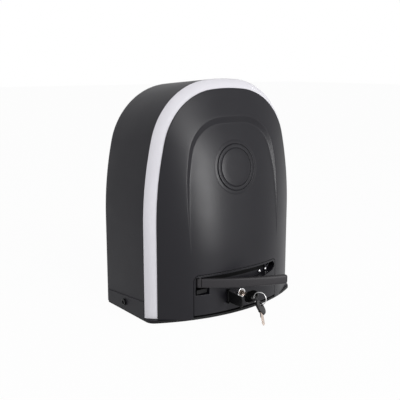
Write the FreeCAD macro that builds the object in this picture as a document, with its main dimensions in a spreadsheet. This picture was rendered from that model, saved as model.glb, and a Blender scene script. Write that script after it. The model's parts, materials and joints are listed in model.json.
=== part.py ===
"""Sliding gate motor, as a parametric FreeCAD document.

Frame: origin at the middle of the base plate's underside, +Z up, +Y towards the gate (the back,
where the pinion is) and -Y towards the user (the front, with the release lever and its lock).
Every driving dimension is a row of SIZES and a cell of the spreadsheet; each sub-part is a body of
its own whose sizes are expressions on those cells.
"""
import FreeCAD
import Part
import Sketcher
import math
import os

Vector = FreeCAD.Vector
doc = FreeCAD.newDocument("SlidingGateMotor")

# name, millimetres (or degrees, or a plain count), meaning
SIZES = [
    ("overall_height", 305.0, "top of the cover above the ground face"),
    ("cover_half_width", 123.3, "middle plane to the cover's side wall"),
    ("side_start", 122.0, "height where the side walls begin to curve in"),
    ("side_radius", 450.0, "radius of the long side curve"),
    ("shoulder_radius", 95.0, "radius of the shoulders"),
    ("crown_radius", 268.0, "radius of the top"),
    ("cover_front", 27.5, "cover's front rim, forward of the middle"),
    ("cover_back", 71.0, "cover's back wall, behind the middle"),
    ("roof_fall", 7.5, "drop of the roof from front to back"),
    ("cover_wall", 2.6, "wall of the cover"),
    ("back_round", 7.0, "radius round the back edge"),
    ("skirt_proud", 1.0, "how far the skirt stands out of the side walls"),
    ("skirt_front_height", 26.0, "top of the skirt at the front"),
    ("skirt_back_height", 19.0, "top of the skirt at the back"),
    ("band_width", 11.8, "trim band, measured across the front"),
    ("band_depth", 12.4, "trim band, measured front to back"),
    ("band_wall", 2.6, "thickness of the trim band"),
    ("panel_edge", 41.6, "front panel's rim, forward of the middle"),
    ("panel_nose", 72.0, "front panel's most forward line, forward of the middle"),
    ("panel_lean", 8.1, "set-back of the panel's middle line at the badge"),
    ("panel_wall", 3.0, "wall of the front panel"),
    ("panel_centre_height", 180.0, "height about which the panel's upper half is rounded"),
    ("panel_fullness", 2.6, "power of the panel's section, 2 is a parabola"),
    ("recess_depth", 4.4, "depth of the label recess at its top"),
    ("recess_share", 0.66, "recess outline, as a share of the panel's outline"),
    ("recess_low", 84.0, "height where the recess runs out"),
    ("recess_slope", 0.34, "rise of the slope round the recess, per unit of width"),
    ("badge_height", 192.6, "centre of the badge above the ground face"),
    ("badge_radius", 30.0, "outer radius of the badge"),
    ("badge_thickness", 1.6, "thickness of the badge"),
    ("plate_thickness", 3.0, "steel base plate"),
    ("plate_half_width", 123.0, "middle plane to the plate's side"),
    ("plate_nose", 72.5, "plate's most forward point"),
    ("plate_nose_radius", 240.0, "plan radius of the plate's front"),
    ("plate_corner", 13.0, "plate's front corner radius"),
    ("foot_half_width", 104.0, "gearcase foot, middle plane to side"),
    ("foot_front", 37.0, "gearcase foot, forward of the middle"),
    ("foot_back", 64.0, "gearcase foot, behind the middle"),
    ("foot_thickness", 8.0, "gearcase foot"),
    ("bolt_spacing_x", 170.0, "foundation slots, side to side"),
    ("bolt_spacing_y", 76.0, "foundation slots, front to back"),
    ("bolt_middle_y", 16.0, "middle of the foundation slots, behind the middle"),
    ("bolt_slot_length", 24.0, "foundation slot, end to end"),
    ("bolt_slot_radius", 5.25, "half the width of a foundation slot, for M10"),
    ("cable_x", 57.0, "cable entry, right of the middle"),
    ("cable_y", -14.0, "cable entry, behind the middle"),
    ("cable_hole_radius", 12.5, "hole in the foot for the grommet"),
    ("cable_bore_radius", 8.0, "bore of the grommet"),
    ("grommet_lip", 3.0, "grommet's lip, outside its hole"),
    ("grommet_lip_height", 4.0, "grommet's lip above the foot"),
    ("shaft_x", -45.0, "output shaft, right of the middle"),
    ("shaft_height", 72.0, "output shaft above the ground face"),
    ("shaft_radius", 10.0, "output shaft"),
    ("shaft_front", 27.5, "output shaft's front end, forward of the middle"),
    ("shaft_back", 103.0, "output shaft's back end, behind the middle"),
    ("shaft_collar_radius", 13.0, "collar that carries the worm wheel"),
    ("shaft_collar_width", 3.4, "width of that collar"),
    ("worm_y", 18.0, "worm axis, behind the middle"),
    ("gear_module", 2.5, "module of worm and wheel"),
    ("wheel_teeth", 30.0, "teeth of the worm wheel"),
    ("wheel_width", 20.0, "worm wheel, front to back"),
    ("worm_pitch_radius", 12.5, "worm"),
    ("worm_length", 44.0, "threaded length"),
    ("pinion_module", 4.0, "module of the pinion"),
    ("pinion_teeth", 16.0, "teeth of the pinion"),
    ("pinion_width", 26.0, "pinion, front to back"),
    ("pinion_gap", 3.0, "from the cover's back wall to the pinion"),
    ("case_wall", 7.0, "wall of the gearcase round the wheel"),
    ("case_clearance", 2.6, "from the wheel's tips to the gearcase"),
    ("case_front", 16.0, "gearcase's front rim, forward of the middle"),
    ("case_floor", 32.0, "back of the wheel chamber, behind the middle"),
    ("case_top", 130.0, "top of the motor flange above the ground face"),
    ("case_flange_thickness", 7.5, "motor flange"),
    ("case_cover_thickness", 6.0, "gearcase cover"),
    ("boss_radius", 30.0, "gearcase boss round the output shaft"),
    ("boss_back", 70.0, "end of that boss, behind the middle"),
    ("bearing_radius", 21.0, "outside of the output bearings"),
    ("bearing_width", 12.0, "output bearings"),
    ("seal_radius", 18.0, "outside of the shaft seal"),
    ("seal_width", 7.0, "shaft seal"),
    ("running_fit", 0.04, "radial clearance of a part that turns or slides"),
    ("notch_rise", 44.0, "top of the cover's notch above the shaft boss"),
    ("lug_width", 16.0, "gearcase lug that a cover screw goes into"),
    ("lug_height", 20.0, "that lug, above the base plate"),
    ("cover_screw_y", 20.0, "cover screws, behind the middle"),
    ("cover_screw_height", 13.0, "cover screws above the ground face"),
    ("cover_screw_radius", 2.4, "cover screws"),
    ("free_gap", 0.4, "clearance between pieces that only pass each other"),
    ("motor_radius", 45.0, "outside of the stator"),
    ("stator_height", 58.0, "stator stack and its shell"),
    ("motor_cap_height", 22.0, "motor's upper cap"),
    ("rotor_radius", 24.0, "rotor core"),
    ("air_gap", 0.6, "between rotor and stator"),
    ("rotor_shaft_radius", 7.0, "motor shaft"),
    ("motor_bearing_radius", 14.0, "outside of the motor's bearings"),
    ("motor_bearing_width", 9.0, "motor's bearings"),
    ("coil_height", 9.0, "winding heads above and below the stack"),
    ("feeler_x", -49.0, "limit feeler's pivot, right of the middle"),
    ("feeler_rise", 62.0, "limit feeler above the output shaft"),
    ("feeler_length", 52.0, "limit feeler, from its pivot"),
    ("lever_hinge_x", -59.2, "release lever's hinge, right of the middle"),
    ("lever_hinge_forward", 59.0, "release lever's hinge, forward of the middle"),
    ("lever_low", 42.3, "release lever's lower edge above the ground face"),
    ("lever_height", 12.2, "release lever, top to bottom"),
    ("lever_length", 115.8, "release lever, from its hinge"),
    ("lever_thickness", 7.0, "release lever"),
    ("lever_bow_radius", 300.0, "plan radius of the release lever"),
    ("lever_crown", 13.0, "lever's most forward line ahead of its hinge, when shut"),
    ("lever_open_angle", 28.2, "how far the lever stands open"),
    ("lever_knuckle_radius", 6.4, "knuckle round the hinge pin"),
    ("lever_pin_radius", 3.0, "hinge pin"),
    ("eccentric_throw", 4.2, "release eccentric, off the hinge axis"),
    ("eccentric_radius", 2.5, "release eccentric"),
    ("eccentric_lead", 45.0, "eccentric's angle ahead of the lever's middle position"),
    ("rod_height", 37.3, "release rod above the ground face"),
    ("rod_radius", 4.0, "release rod"),
    ("yoke_half_width", 8.5, "yoke on the release rod"),
    ("yoke_depth", 12.0, "yoke, front to back"),
    ("yoke_height", 5.2, "yoke, top to bottom"),
    ("bezel_half_width", 70.3, "release housing, middle plane to side"),
    ("bezel_low", 5.6, "release housing's lower edge above the ground face"),
    ("bezel_high", 58.6, "release housing's upper edge above the ground face"),
    ("bezel_corner", 7.0, "release housing's upper corners"),
    ("bezel_back", 50.0, "back of the release housing, forward of the middle"),
    ("bezel_gap", 0.8, "groove round the release housing"),
    ("slot_half_width", 68.3, "lever slot, middle plane to end"),
    ("slot_low", 41.5, "lever slot's lower edge above the ground face"),
    ("slot_high", 56.0, "lever slot's upper edge above the ground face"),
    ("slot_depth", 11.0, "lever slot, behind the face"),
    ("lock_height", 25.5, "lock above the ground face"),
    ("lock_radius", 6.4, "lock cylinder"),
    ("lock_proud", 2.6, "lock cylinder ahead of the release housing"),
    ("lock_length", 27.0, "lock cylinder"),
    ("plug_radius", 4.6, "turning plug of the lock"),
    ("cam_length", 15.0, "lock's cam"),
    ("cam_thickness", 2.4, "lock's cam"),
    ("key_turn", 50.0, "how far the key stands turned"),
    ("key_blade_height", 6.0, "key's blade"),
    ("key_blade_thickness", 1.4, "key's blade"),
    ("key_blade_length", 20.0, "key's blade, with its shank"),
    ("key_bow_radius", 10.0, "key's grip"),
    ("key_bow_thickness", 2.8, "key's grip"),
    ("key_out", 9.0, "from the lock's face to the key's grip"),
    ("key_hole_radius", 3.3, "hole in the key's grip"),
    ("key_hole_offset", 5.0, "that hole, from the middle of the grip"),
    ("ring_radius", 8.5, "key ring, to the middle of its wire"),
    ("ring_wire", 0.8, "half the thickness of the ring's wire"),
    ("flap_hinge_x", -22.0, "lock flap's hinge, right of the middle"),
    ("flap_length", 29.0, "lock flap, from its hinge"),
    ("flap_height", 14.0, "lock flap, top to bottom"),
    ("flap_thickness", 1.8, "lock flap"),
    ("flap_open_angle", 92.0, "how far the flap stands open"),
    ("flap_pin_radius", 1.0, "flap's hinge pin"),
]


class Size:
    """A number that remembers the spreadsheet expression it comes from."""

    def __init__(self, value, text):
        self.value = float(value)
        self.text = text

    def __float__(self):
        return self.value

    def joined(self, other, sign, value, swap=False):
        left, right = (text_of(other), self.text) if swap else (self.text, text_of(other))
        return Size(value, f"({left} {sign} {right})")

    def __add__(self, other):
        return self.joined(other, "+", self.value + float(other))

    def __radd__(self, other):
        return self.joined(other, "+", float(other) + self.value, True)

    def __sub__(self, other):
        return self.joined(other, "-", self.value - float(other))

    def __rsub__(self, other):
        return self.joined(other, "-", float(other) - self.value, True)

    def __mul__(self, other):
        return self.joined(other, "*", self.value * float(other))

    def __rmul__(self, other):
        return self.joined(other, "*", float(other) * self.value, True)

    def __truediv__(self, other):
        return self.joined(other, "/", self.value / float(other))

    def __neg__(self):
        return Size(-self.value, f"(0 - {self.text})")


def text_of(value):
    """The expression text of a size or of a bare number."""
    return value.text if isinstance(value, Size) else repr(float(value))


def fill_sheet():
    """Writes SIZES into a spreadsheet and returns one Size for each alias."""
    sheet = doc.addObject("Spreadsheet::Sheet", "Sizes")
    sizes = {}
    for row, (name, value, meaning) in enumerate(SIZES, start=1):
        sheet.set(f"A{row}", name)
        sheet.set(f"B{row}", str(value))
        sheet.set(f"C{row}", meaning)
        sheet.setAlias(f"B{row}", name)
        sizes[name] = Size(value, f"Sizes.{name}")
    doc.recompute()
    return type("Sheet", (), sizes)


S = fill_sheet()
NODES = {}


# ---------------------------------------------------------------- building blocks

def bind(item, path, value):
    """Sets a property, and ties it to the sheet when the value comes from there."""
    if isinstance(value, Size):
        item.setExpression(path, value.text)
    elif "." not in path:
        setattr(item, path, value)
    else:
        item.setExpression(path, repr(float(value)))


def new_body(label):
    """An empty body; its label is the sub-part's name."""
    body = doc.addObject("PartDesign::Body", label)
    body.Label = label
    return body


def place(item, x=0.0, y=0.0, z=0.0, turn=None, axis=(0, 0, 1)):
    """Puts a finished piece at a point, turned about an axis through that point."""
    if turn is not None:
        item.Placement = FreeCAD.Placement(Vector(0, 0, 0), FreeCAD.Rotation(Vector(*axis), 1.0))
        bind(item, "Placement.Rotation.Angle", turn)
    for letter, value in zip("xyz", (x, y, z)):
        bind(item, f"Placement.Base.{letter}", value)
    return item


def keep(label, item):
    """Registers a finished sub-part under its node name."""
    item.Label = label
    NODES[label] = item
    return item


def new_sketch(body, role, name, offset=0.0):
    """A sketch on one of the body's own origin planes, moved along the plane's normal.

    XY_Plane looks down -Z, XZ_Plane has its normal along -Y and YZ_Plane along +X.
    """
    sketch = body.newObject("Sketcher::SketchObject", name)
    origin_plane = next(f for f in body.Origin.OriginFeatures if f.Role == role)
    sketch.AttachmentSupport = (origin_plane, [""])
    sketch.MapMode = "FlatFace"
    bind(sketch, "AttachmentOffset.Base.z", offset)
    return sketch


def hold(sketch, geometry, point, x=None, y=None):
    """Ties a sketch point's coordinates to values."""
    for kind, value in (("DistanceX", x), ("DistanceY", y)):
        if value is not None:
            index = sketch.addConstraint(
                Sketcher.Constraint(kind, -1, 1, geometry, point, float(value)))
            if isinstance(value, Size):
                sketch.setExpression(f"Constraints[{index}]", value.text)


def hold_radius(sketch, geometry, radius):
    """Ties an arc's or a circle's radius to a value."""
    index = sketch.addConstraint(Sketcher.Constraint("Radius", geometry, float(radius)))
    if isinstance(radius, Size):
        sketch.setExpression(f"Constraints[{index}]", radius.text)


def polygon(sketch, points):
    """A closed outline of straight lines through the points."""
    corners = [Vector(float(x), float(y), 0) for x, y in points]
    count = len(corners)
    first = sketch.GeometryCount
    for i in range(count):
        sketch.addGeometry(Part.LineSegment(corners[i], corners[(i + 1) % count]))
    for i in range(count):
        sketch.addConstraint(
            Sketcher.Constraint("Coincident", first + i, 2, first + (i + 1) % count, 1))
    for i, (x, y) in enumerate(points):
        hold(sketch, first + i, 1, x, y)


def rectangle(sketch, left, low, right, high):
    """An upright rectangle between two corners."""
    polygon(sketch, [(left, low), (right, low), (right, high), (left, high)])


def circle(sketch, x, y, radius):
    """A circle by its centre and radius."""
    index = sketch.addGeometry(
        Part.Circle(Vector(float(x), float(y), 0), Vector(0, 0, 1), float(radius)))
    hold(sketch, index, 3, x, y)
    hold_radius(sketch, index, radius)


def slot(sketch, x, y, length, radius):
    """A slot with round ends, along the sketch's first axis."""
    reach = length / 2 - radius
    ends = []
    for side, start in ((1, -math.pi / 2), (-1, math.pi / 2)):
        centre = x + reach * side
        ring = Part.Circle(Vector(float(centre), float(y), 0), Vector(0, 0, 1), float(radius))
        index = sketch.addGeometry(Part.ArcOfCircle(ring, start, start + math.pi))
        hold(sketch, index, 3, centre, y)
        hold_radius(sketch, index, radius)
        ends.append(index)
    right, left = ends
    for a, a_end, b, b_end, rise in ((right, 2, left, 1, 1), (left, 2, right, 1, -1)):
        line = sketch.addGeometry(Part.LineSegment(
            Vector(float(x + reach * rise), float(y + radius * rise), 0),
            Vector(float(x - reach * rise), float(y + radius * rise), 0)))
        sketch.addConstraint(Sketcher.Constraint("Tangent", a, a_end, line, 1))
        sketch.addConstraint(Sketcher.Constraint("Tangent", line, 2, b, b_end))


def arch_centres(inset, fall=0.0):
    """Centres of the arch's side, shoulder and crown arcs: three circles that touch in turn."""
    half_width, height = float(S.cover_half_width), float(S.overall_height) - float(fall)
    side, shoulder, crown = (float(r) for r in (S.side_radius, S.shoulder_radius, S.crown_radius))
    side_centre = Vector(half_width - side, float(S.side_start), 0)
    crown_centre = Vector(0, height - crown, 0)
    span = crown_centre - side_centre
    to_side, to_crown = side - shoulder, crown - shoulder
    along = (to_side ** 2 - to_crown ** 2 + span.Length ** 2) / (2 * span.Length)
    across = math.sqrt(to_side ** 2 - along ** 2)
    unit = span / span.Length
    shoulder_centre = side_centre + unit * along + Vector(-unit.y, unit.x, 0) * across
    return side_centre, shoulder_centre, crown_centre


def arch(sketch, inset=0.0, fall=0.0, low=None):
    """The cover's front outline, a number of millimetres inside its outer edge."""
    low = S.plate_thickness if low is None else low
    half_width = S.cover_half_width - inset
    side_centre, shoulder_centre, crown_centre = arch_centres(inset, fall)
    radii = [r - inset for r in (S.side_radius, S.shoulder_radius, S.crown_radius)]

    def heading(a, b):
        return math.atan2(b.y - a.y, b.x - a.x)

    first = heading(side_centre, shoulder_centre)
    second = heading(crown_centre, shoulder_centre)

    def arc(centre, radius, start, end):
        return sketch.addGeometry(Part.ArcOfCircle(
            Part.Circle(centre, Vector(0, 0, 1), float(radius)), start, end))

    def line(x0, y0, x1, y1):
        return sketch.addGeometry(Part.LineSegment(
            Vector(float(x0), float(y0), 0), Vector(float(x1), float(y1), 0)))

    def mirrored(point):
        return Vector(-point.x, point.y, 0)

    chain = [
        line(half_width, low, half_width, S.side_start),
        arc(side_centre, radii[0], 0, first),
        arc(shoulder_centre, radii[1], first, second),
        arc(crown_centre, radii[2], second, math.pi - second),
        arc(mirrored(shoulder_centre), radii[1], math.pi - second, math.pi - first),
        arc(mirrored(side_centre), radii[0], math.pi - first, math.pi),
        line(-half_width, S.side_start, -half_width, low),
    ]
    floor = line(-half_width, low, half_width, low)
    for a, b in zip(chain, chain[1:]):
        sketch.addConstraint(Sketcher.Constraint("Tangent", a, 2, b, 1))
    sketch.addConstraint(Sketcher.Constraint("Coincident", chain[-1], 2, floor, 1))
    sketch.addConstraint(Sketcher.Constraint("Coincident", floor, 2, chain[0], 1))
    hold(sketch, chain[0], 1, half_width, low)
    hold(sketch, chain[0], 2, half_width, S.side_start)
    hold(sketch, chain[6], 1, -half_width, S.side_start)
    hold(sketch, chain[6], 2, -half_width, low)
    for index, radius in zip(chain[1:6], (radii[0], radii[1], radii[2], radii[1], radii[0])):
        hold_radius(sketch, index, radius)
    hold(sketch, chain[3], 3, 0.0, S.overall_height - fall - S.crown_radius)


def grown(body, feature, more):
    """Recomputes, and stops if the feature didn't add (or cut) material."""
    before = body.Shape.Volume if body.Shape and not body.Shape.isNull() else 0.0
    doc.recompute()
    change = body.Shape.Volume - before
    if (change <= 0) if more else (change >= 0):
        raise RuntimeError(f"{body.Label}.{feature.Label} changes its body by {change:.1f} mm3")
    return feature


def pad(body, sketch, length, reverse=False):
    """Adds the sketch's outline, along its normal unless reversed."""
    feature = body.newObject("PartDesign::Pad", sketch.Label + "_pad")
    feature.Profile = sketch
    feature.Reversed = reverse
    bind(feature, "Length", length)
    return grown(body, feature, True)


def pocket(body, sketch, length, along=False):
    """Cuts the sketch's outline, against its normal unless told to cut along it."""
    feature = body.newObject("PartDesign::Pocket", sketch.Label + "_pocket")
    feature.Profile = sketch
    feature.Reversed = along
    bind(feature, "Length", length)
    return grown(body, feature, False)


def turned(body, name, role, points):
    """Adds a revolved outline of (radius, position) points about the sketch's second axis."""
    sketch = new_sketch(body, role, name)
    polygon(sketch, points)
    feature = body.newObject("PartDesign::Revolution", name + "_turn")
    feature.Profile = sketch
    feature.ReferenceAxis = (sketch, ["V_Axis"])
    feature.Angle = 360.0
    return grown(body, feature, True)


def round_edges(body, radius, chosen, chamfer=False):
    """Rounds or chamfers the edges of the body's present shape that chosen(edge) picks."""
    doc.recompute()
    base = body.Tip
    names = [f"Edge{i}" for i, edge in enumerate(base.Shape.Edges, start=1) if chosen(edge)]
    if not names:
        raise RuntimeError(f"{body.Label}: no edge to round")
    kind = "PartDesign::Chamfer" if chamfer else "PartDesign::Fillet"
    feature = body.newObject(kind, body.Label + "_edges")
    feature.Base = (base, names)
    bind(feature, "Size" if chamfer else "Radius", radius)
    doc.recompute()
    return feature


def upright(edge):
    """True for a straight edge along Z."""
    return is_along(edge, Vector(0, 0, 1))


def is_along(edge, direction):
    """True for a straight edge along a direction."""
    if not isinstance(edge.Curve, Part.Line):
        return False
    return abs(abs(edge.Curve.Direction.dot(direction)) - 1.0) < 1e-6


def tube(label, outer, inner, low, high, role="XZ_Plane"):
    """A plain ring: along Z by default, along Y with role XY_Plane."""
    body = new_body(label)
    turned(body, label + "_ring", role, [(inner, low), (outer, low), (outer, high), (inner, high)])
    return body


def block(label, left, front, low, right, back, high):
    """A rectangular piece between two corners."""
    body = new_body(label)
    outline = new_sketch(body, "XY_Plane", label + "_plan", low)
    rectangle(outline, left, front, right, back)
    pad(body, outline, high - low)
    return body


def join(kind, label, pieces):
    """A Part boolean of whole pieces: Cut takes the rest out of the first."""
    item = doc.addObject("Part::" + kind, label)
    if kind == "Cut":
        item.Base, item.Tool = pieces
    else:
        item.Shapes = pieces
    doc.recompute()
    return item


def group(label, pieces):
    """Several separate solids of one kind, as one sub-part."""
    item = doc.addObject("Part::Compound", label)
    item.Links = pieces
    doc.recompute()
    return item


# ---------------------------------------------------------------- the front's curved face

def outline_reach(x, z, inset):
    """Distance from the panel's centre to the arch's inset outline, on the ray through (x, z)."""
    centre = Vector(0, float(S.panel_centre_height), 0)
    ray = Vector(abs(x), z, 0) - centre
    ray.normalize()
    reaches = []
    side_centre, shoulder_centre, crown_centre = arch_centres(inset)
    joints = [heading_point(side_centre, shoulder_centre, S.shoulder_radius),
              heading_point(crown_centre, shoulder_centre, S.shoulder_radius)]
    angle = math.atan2(ray.y, ray.x)
    limits = [math.atan2(j.y - centre.y, j.x - centre.x) for j in joints]
    if angle < limits[0]:
        arc_centre, radius = side_centre, S.side_radius
    elif angle < limits[1]:
        arc_centre, radius = shoulder_centre, S.shoulder_radius
    else:
        arc_centre, radius = crown_centre, S.crown_radius
    offset = centre - arc_centre
    half = offset.dot(ray)
    reaches = half * half - offset.dot(offset) + (float(radius) - float(inset)) ** 2
    return -half + math.sqrt(reaches)


def heading_point(a, b, distance):
    """The point beyond b on the line from a, a distance past b."""
    unit = (b - a) / (b - a).Length
    return b + unit * float(distance)


def panel_share(x, z):
    """0 on the panel's middle line, 1 on its outline."""
    height = float(S.panel_centre_height)
    if z <= height:
        return abs(x) / (side_half_width(z) - float(S.band_width))
    distance = math.hypot(x, z - height)
    if distance < 1e-9:
        return 0.0
    return distance / outline_reach(x, z, S.band_width)


def side_half_width(z):
    """Half the cover's width at a height on its straight walls or their side curve."""
    rise = max(0.0, z - float(S.side_start))
    radius = float(S.side_radius)
    return float(S.cover_half_width) - radius + math.sqrt(radius ** 2 - rise ** 2)


def panel_y(x, z):
    """The front panel's outer face: a crowned shell that leans back towards its top."""
    edge, nose = float(S.panel_edge), float(S.panel_nose)
    low, high = float(S.bezel_high), float(S.badge_height)
    climb = max(0.0, z - low) / (high - low)
    middle = nose - float(S.panel_lean) * climb ** 1.6
    middle = max(middle, edge + 12.0)
    return -edge - (middle - edge) * (1.0 - panel_share(x, z) ** float(S.panel_fullness))


def recess_sink(z):
    """How far the recess floor lies behind the panel's face; negative below where it runs out."""
    low, high = float(S.recess_low), float(S.badge_height) + float(S.badge_radius) + 20.0
    return float(S.recess_depth) * (z - low) / (high - low)


def curved_face(depth):
    """A smooth face through depth(x, z), over the whole front with a margin."""
    half_width, height = float(S.cover_half_width) + 6.0, float(S.overall_height) + 6.0
    columns = [-half_width + half_width * i / 9.0 for i in range(19)]
    rows = [-6.0 + (height + 6.0) * i / 22.0 for i in range(23)]
    surface = Part.BSplineSurface()
    surface.interpolate([[Vector(x, depth(x, z), z) for z in rows] for x in columns])
    return surface.toShape()


def solid_feature(label, shape):
    """A piece whose shape is worked out from the sheet's values."""
    item = doc.addObject("Part::Feature", label)
    item.Shape = shape
    return item


def ahead_of(label, depth):
    """Everything in front of a curved face, as a tool for cutting."""
    return solid_feature(label, curved_face(depth).extrude(Vector(0, -120, 0)))


def behind(label, depth):
    """Everything behind a curved face, as a tool for cutting."""
    return solid_feature(label, curved_face(depth).extrude(Vector(0, 120, 0)))


# ---------------------------------------------------------------- cover, band and front panel

def arch_body(label, front, back, front_inset, back_inset, back_fall=0.0, low=None):
    """A lofted solid between two arches; front and back are measured forward of the middle."""
    body = new_body(label)
    sketches = []
    for tag, offset, inset, fall in (("back", back, back_inset, back_fall),
                                     ("front", front, front_inset, 0.0)):
        sketch = new_sketch(body, "XZ_Plane", f"{label}_{tag}", offset)
        arch(sketch, inset, fall, low)
        sketches.append(sketch)
    doc.recompute()
    loft = body.newObject("PartDesign::AdditiveLoft", label + "_loft")
    loft.Profile = sketches[0]
    loft.Sections = [sketches[1]]
    loft.Ruled = True
    grown(body, loft, True)
    return body


def make_rear_cover():
    """Side walls, roof and back wall in one moulding, with the notch for the gearcase's boss."""
    body = arch_body("cover_outside", S.cover_front, -S.cover_back, 0.0, 0.0, S.roof_fall)
    back = float(S.cover_back)
    round_edges(body, S.back_round, lambda edge: all(
        abs(v.Point.y - back) < 1e-3 for v in edge.Vertexes)
        and edge.CenterOfMass.z > float(S.plate_thickness) + 1)
    for side in (1, -1):
        skirt = new_sketch(body, "YZ_Plane", f"skirt_{'right' if side > 0 else 'left'}",
                           (S.cover_half_width - 0.5) if side > 0 else -S.cover_half_width + 0.5)
        polygon(skirt, [(-S.cover_front, S.plate_thickness),
                        (S.cover_back - S.back_round, S.plate_thickness),
                        (S.cover_back - S.back_round, S.skirt_back_height),
                        (-S.cover_front, S.skirt_front_height)])
        pad(body, skirt, S.skirt_proud + 0.5, reverse=side < 0)
    notch = new_sketch(body, "XZ_Plane", "boss_notch", -S.cover_back - 1)
    half = S.boss_radius + S.free_gap
    low = S.plate_thickness - 1
    crest = S.shaft_height + S.notch_rise
    index = notch.addGeometry(Part.ArcOfCircle(
        Part.Circle(Vector(float(S.shaft_x), float(crest), 0), Vector(0, 0, 1),
                    float(half)), 0, math.pi))
    hold(notch, index, 3, S.shaft_x, crest)
    hold_radius(notch, index, half)
    corners = [(S.shaft_x + half, crest), (S.shaft_x + half, low),
               (S.shaft_x - half, low), (S.shaft_x - half, crest)]
    lines = []
    for (x0, y0), (x1, y1) in zip(corners, corners[1:]):
        lines.append(notch.addGeometry(Part.LineSegment(
            Vector(float(x0), float(y0), 0), Vector(float(x1), float(y1), 0))))
    ends = [(index, 1, lines[0], 1), (lines[0], 2, lines[1], 1), (lines[1], 2, lines[2], 1),
            (lines[2], 2, index, 2)]
    for a, a_end, b, b_end in ends:
        notch.addConstraint(Sketcher.Constraint("Coincident", a, a_end, b, b_end))
    hold(notch, index, 1, None, crest)
    hold(notch, index, 2, None, crest)
    hold(notch, lines[1], 1, S.shaft_x + half, low)
    hold(notch, lines[1], 2, S.shaft_x - half, low)
    pocket(body, notch, S.cover_wall + 2, along=True)
    screw_holes = new_sketch(body, "YZ_Plane", "side_screw_holes", -S.cover_half_width - 10)
    circle(screw_holes, S.cover_screw_y, S.cover_screw_height, S.cover_screw_radius)
    pocket(body, screw_holes, 2 * S.cover_half_width + 20, along=True)
    inside = arch_body("cover_inside", S.cover_front + 1, S.cover_wall - S.cover_back, S.cover_wall,
                       S.cover_wall, S.roof_fall, low=S.plate_thickness - 1)
    return keep("rear_cover", join("Cut", "rear_cover", [body, inside]))


def make_trim_band():
    """The pale band: a bevelled arch between the cover's rim and the front panel."""
    front = S.cover_front + S.band_depth
    outside = arch_body("band_outside", front, S.cover_front, S.band_width, 0.0)
    inside = arch_body("band_inside", front, S.cover_front, S.band_width + S.band_wall, S.band_wall,
                       low=S.plate_thickness - 1)
    return keep("trim_band", join("Cut", "trim_band", [outside, inside]))


def tombstone_tool():
    """The label recess: what lies ahead of its floor, inside a slope that rises outwards."""
    floor = ahead_of("recess_floor", lambda x, z: panel_y(x, z) + recess_sink(z))
    sections = []
    stations = 25
    start_z = float(S.recess_low) - 40.0
    centre = float(S.panel_centre_height)
    side_run = centre - start_z
    arc_run = math.pi / 2 * float(S.recess_share) * (centre * 0.6)
    total = 2 * (side_run + arc_run)
    for i in range(stations):
        run = total * i / (stations - 1)
        mirrored = run > total / 2
        run = total - run if mirrored else run
        if run <= side_run:
            z = start_z + run
            outward = Vector(-1, 0, 0)
            share = float(S.recess_share) * (side_half_width(z) - float(S.band_width))
            crease = Vector(-share, 0, z)
        else:
            angle = math.pi - math.pi / 2 * (run - side_run) / arc_run
            outward = Vector(math.cos(angle), 0, math.sin(angle))
            probe = centre + outward.z * 100 if outward.z > 1e-9 else centre + 1e-6
            share = float(S.recess_share) * outline_reach(outward.x * 100, probe, S.band_width)
            crease = Vector(outward.x * share, 0, centre + outward.z * share)
        if mirrored:
            outward.x, crease.x = -outward.x, -crease.x
        crease.y = panel_y(crease.x, crease.z) + recess_sink(crease.z)
        slope = float(S.recess_slope)
        inner = crease - outward * 8.0 + Vector(0, 8.0 * slope, 0)
        outer = crease + outward * 24.0 - Vector(0, 24.0 * slope, 0)
        ahead = -float(S.panel_nose) - 20.0
        sections.append(Part.makePolygon([
            inner, outer, Vector(outer.x, ahead, outer.z), Vector(inner.x, ahead, inner.z), inner]))
    slope_tool = solid_feature("recess_slope_tool", Part.makeLoft(sections, True, False))
    middle = []
    for i in range(stations):
        wire = sections[i].Vertexes
        crease = wire[0].Point + (wire[1].Point - wire[0].Point) * (4.0 / 32.0)
        middle.append(Vector(crease.x, 0, crease.z))
    curve = Part.BSplineCurve()
    curve.interpolate(middle)
    outline = Part.Wire([curve.toShape(), Part.makeLine(middle[-1], middle[0])])
    core = Part.Face(outline).extrude(Vector(0, -float(S.panel_nose) - 20.0, 0))
    core_tool = solid_feature("recess_core_tool", core)
    both = join("MultiFuse", "recess_outline_tool", [slope_tool, core_tool])
    return join("MultiCommon", "recess_tool", [both, floor])


def bezel_outline(body, name, offset, gap):
    """The release housing's outline, grown by a gap, as a pad ready to be cut by the face."""
    sketch = new_sketch(body, "XZ_Plane", name, offset)
    rectangle(sketch, -S.bezel_half_width - gap, S.bezel_low - gap,
              S.bezel_half_width + gap, S.bezel_high + gap)
    return sketch


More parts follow.
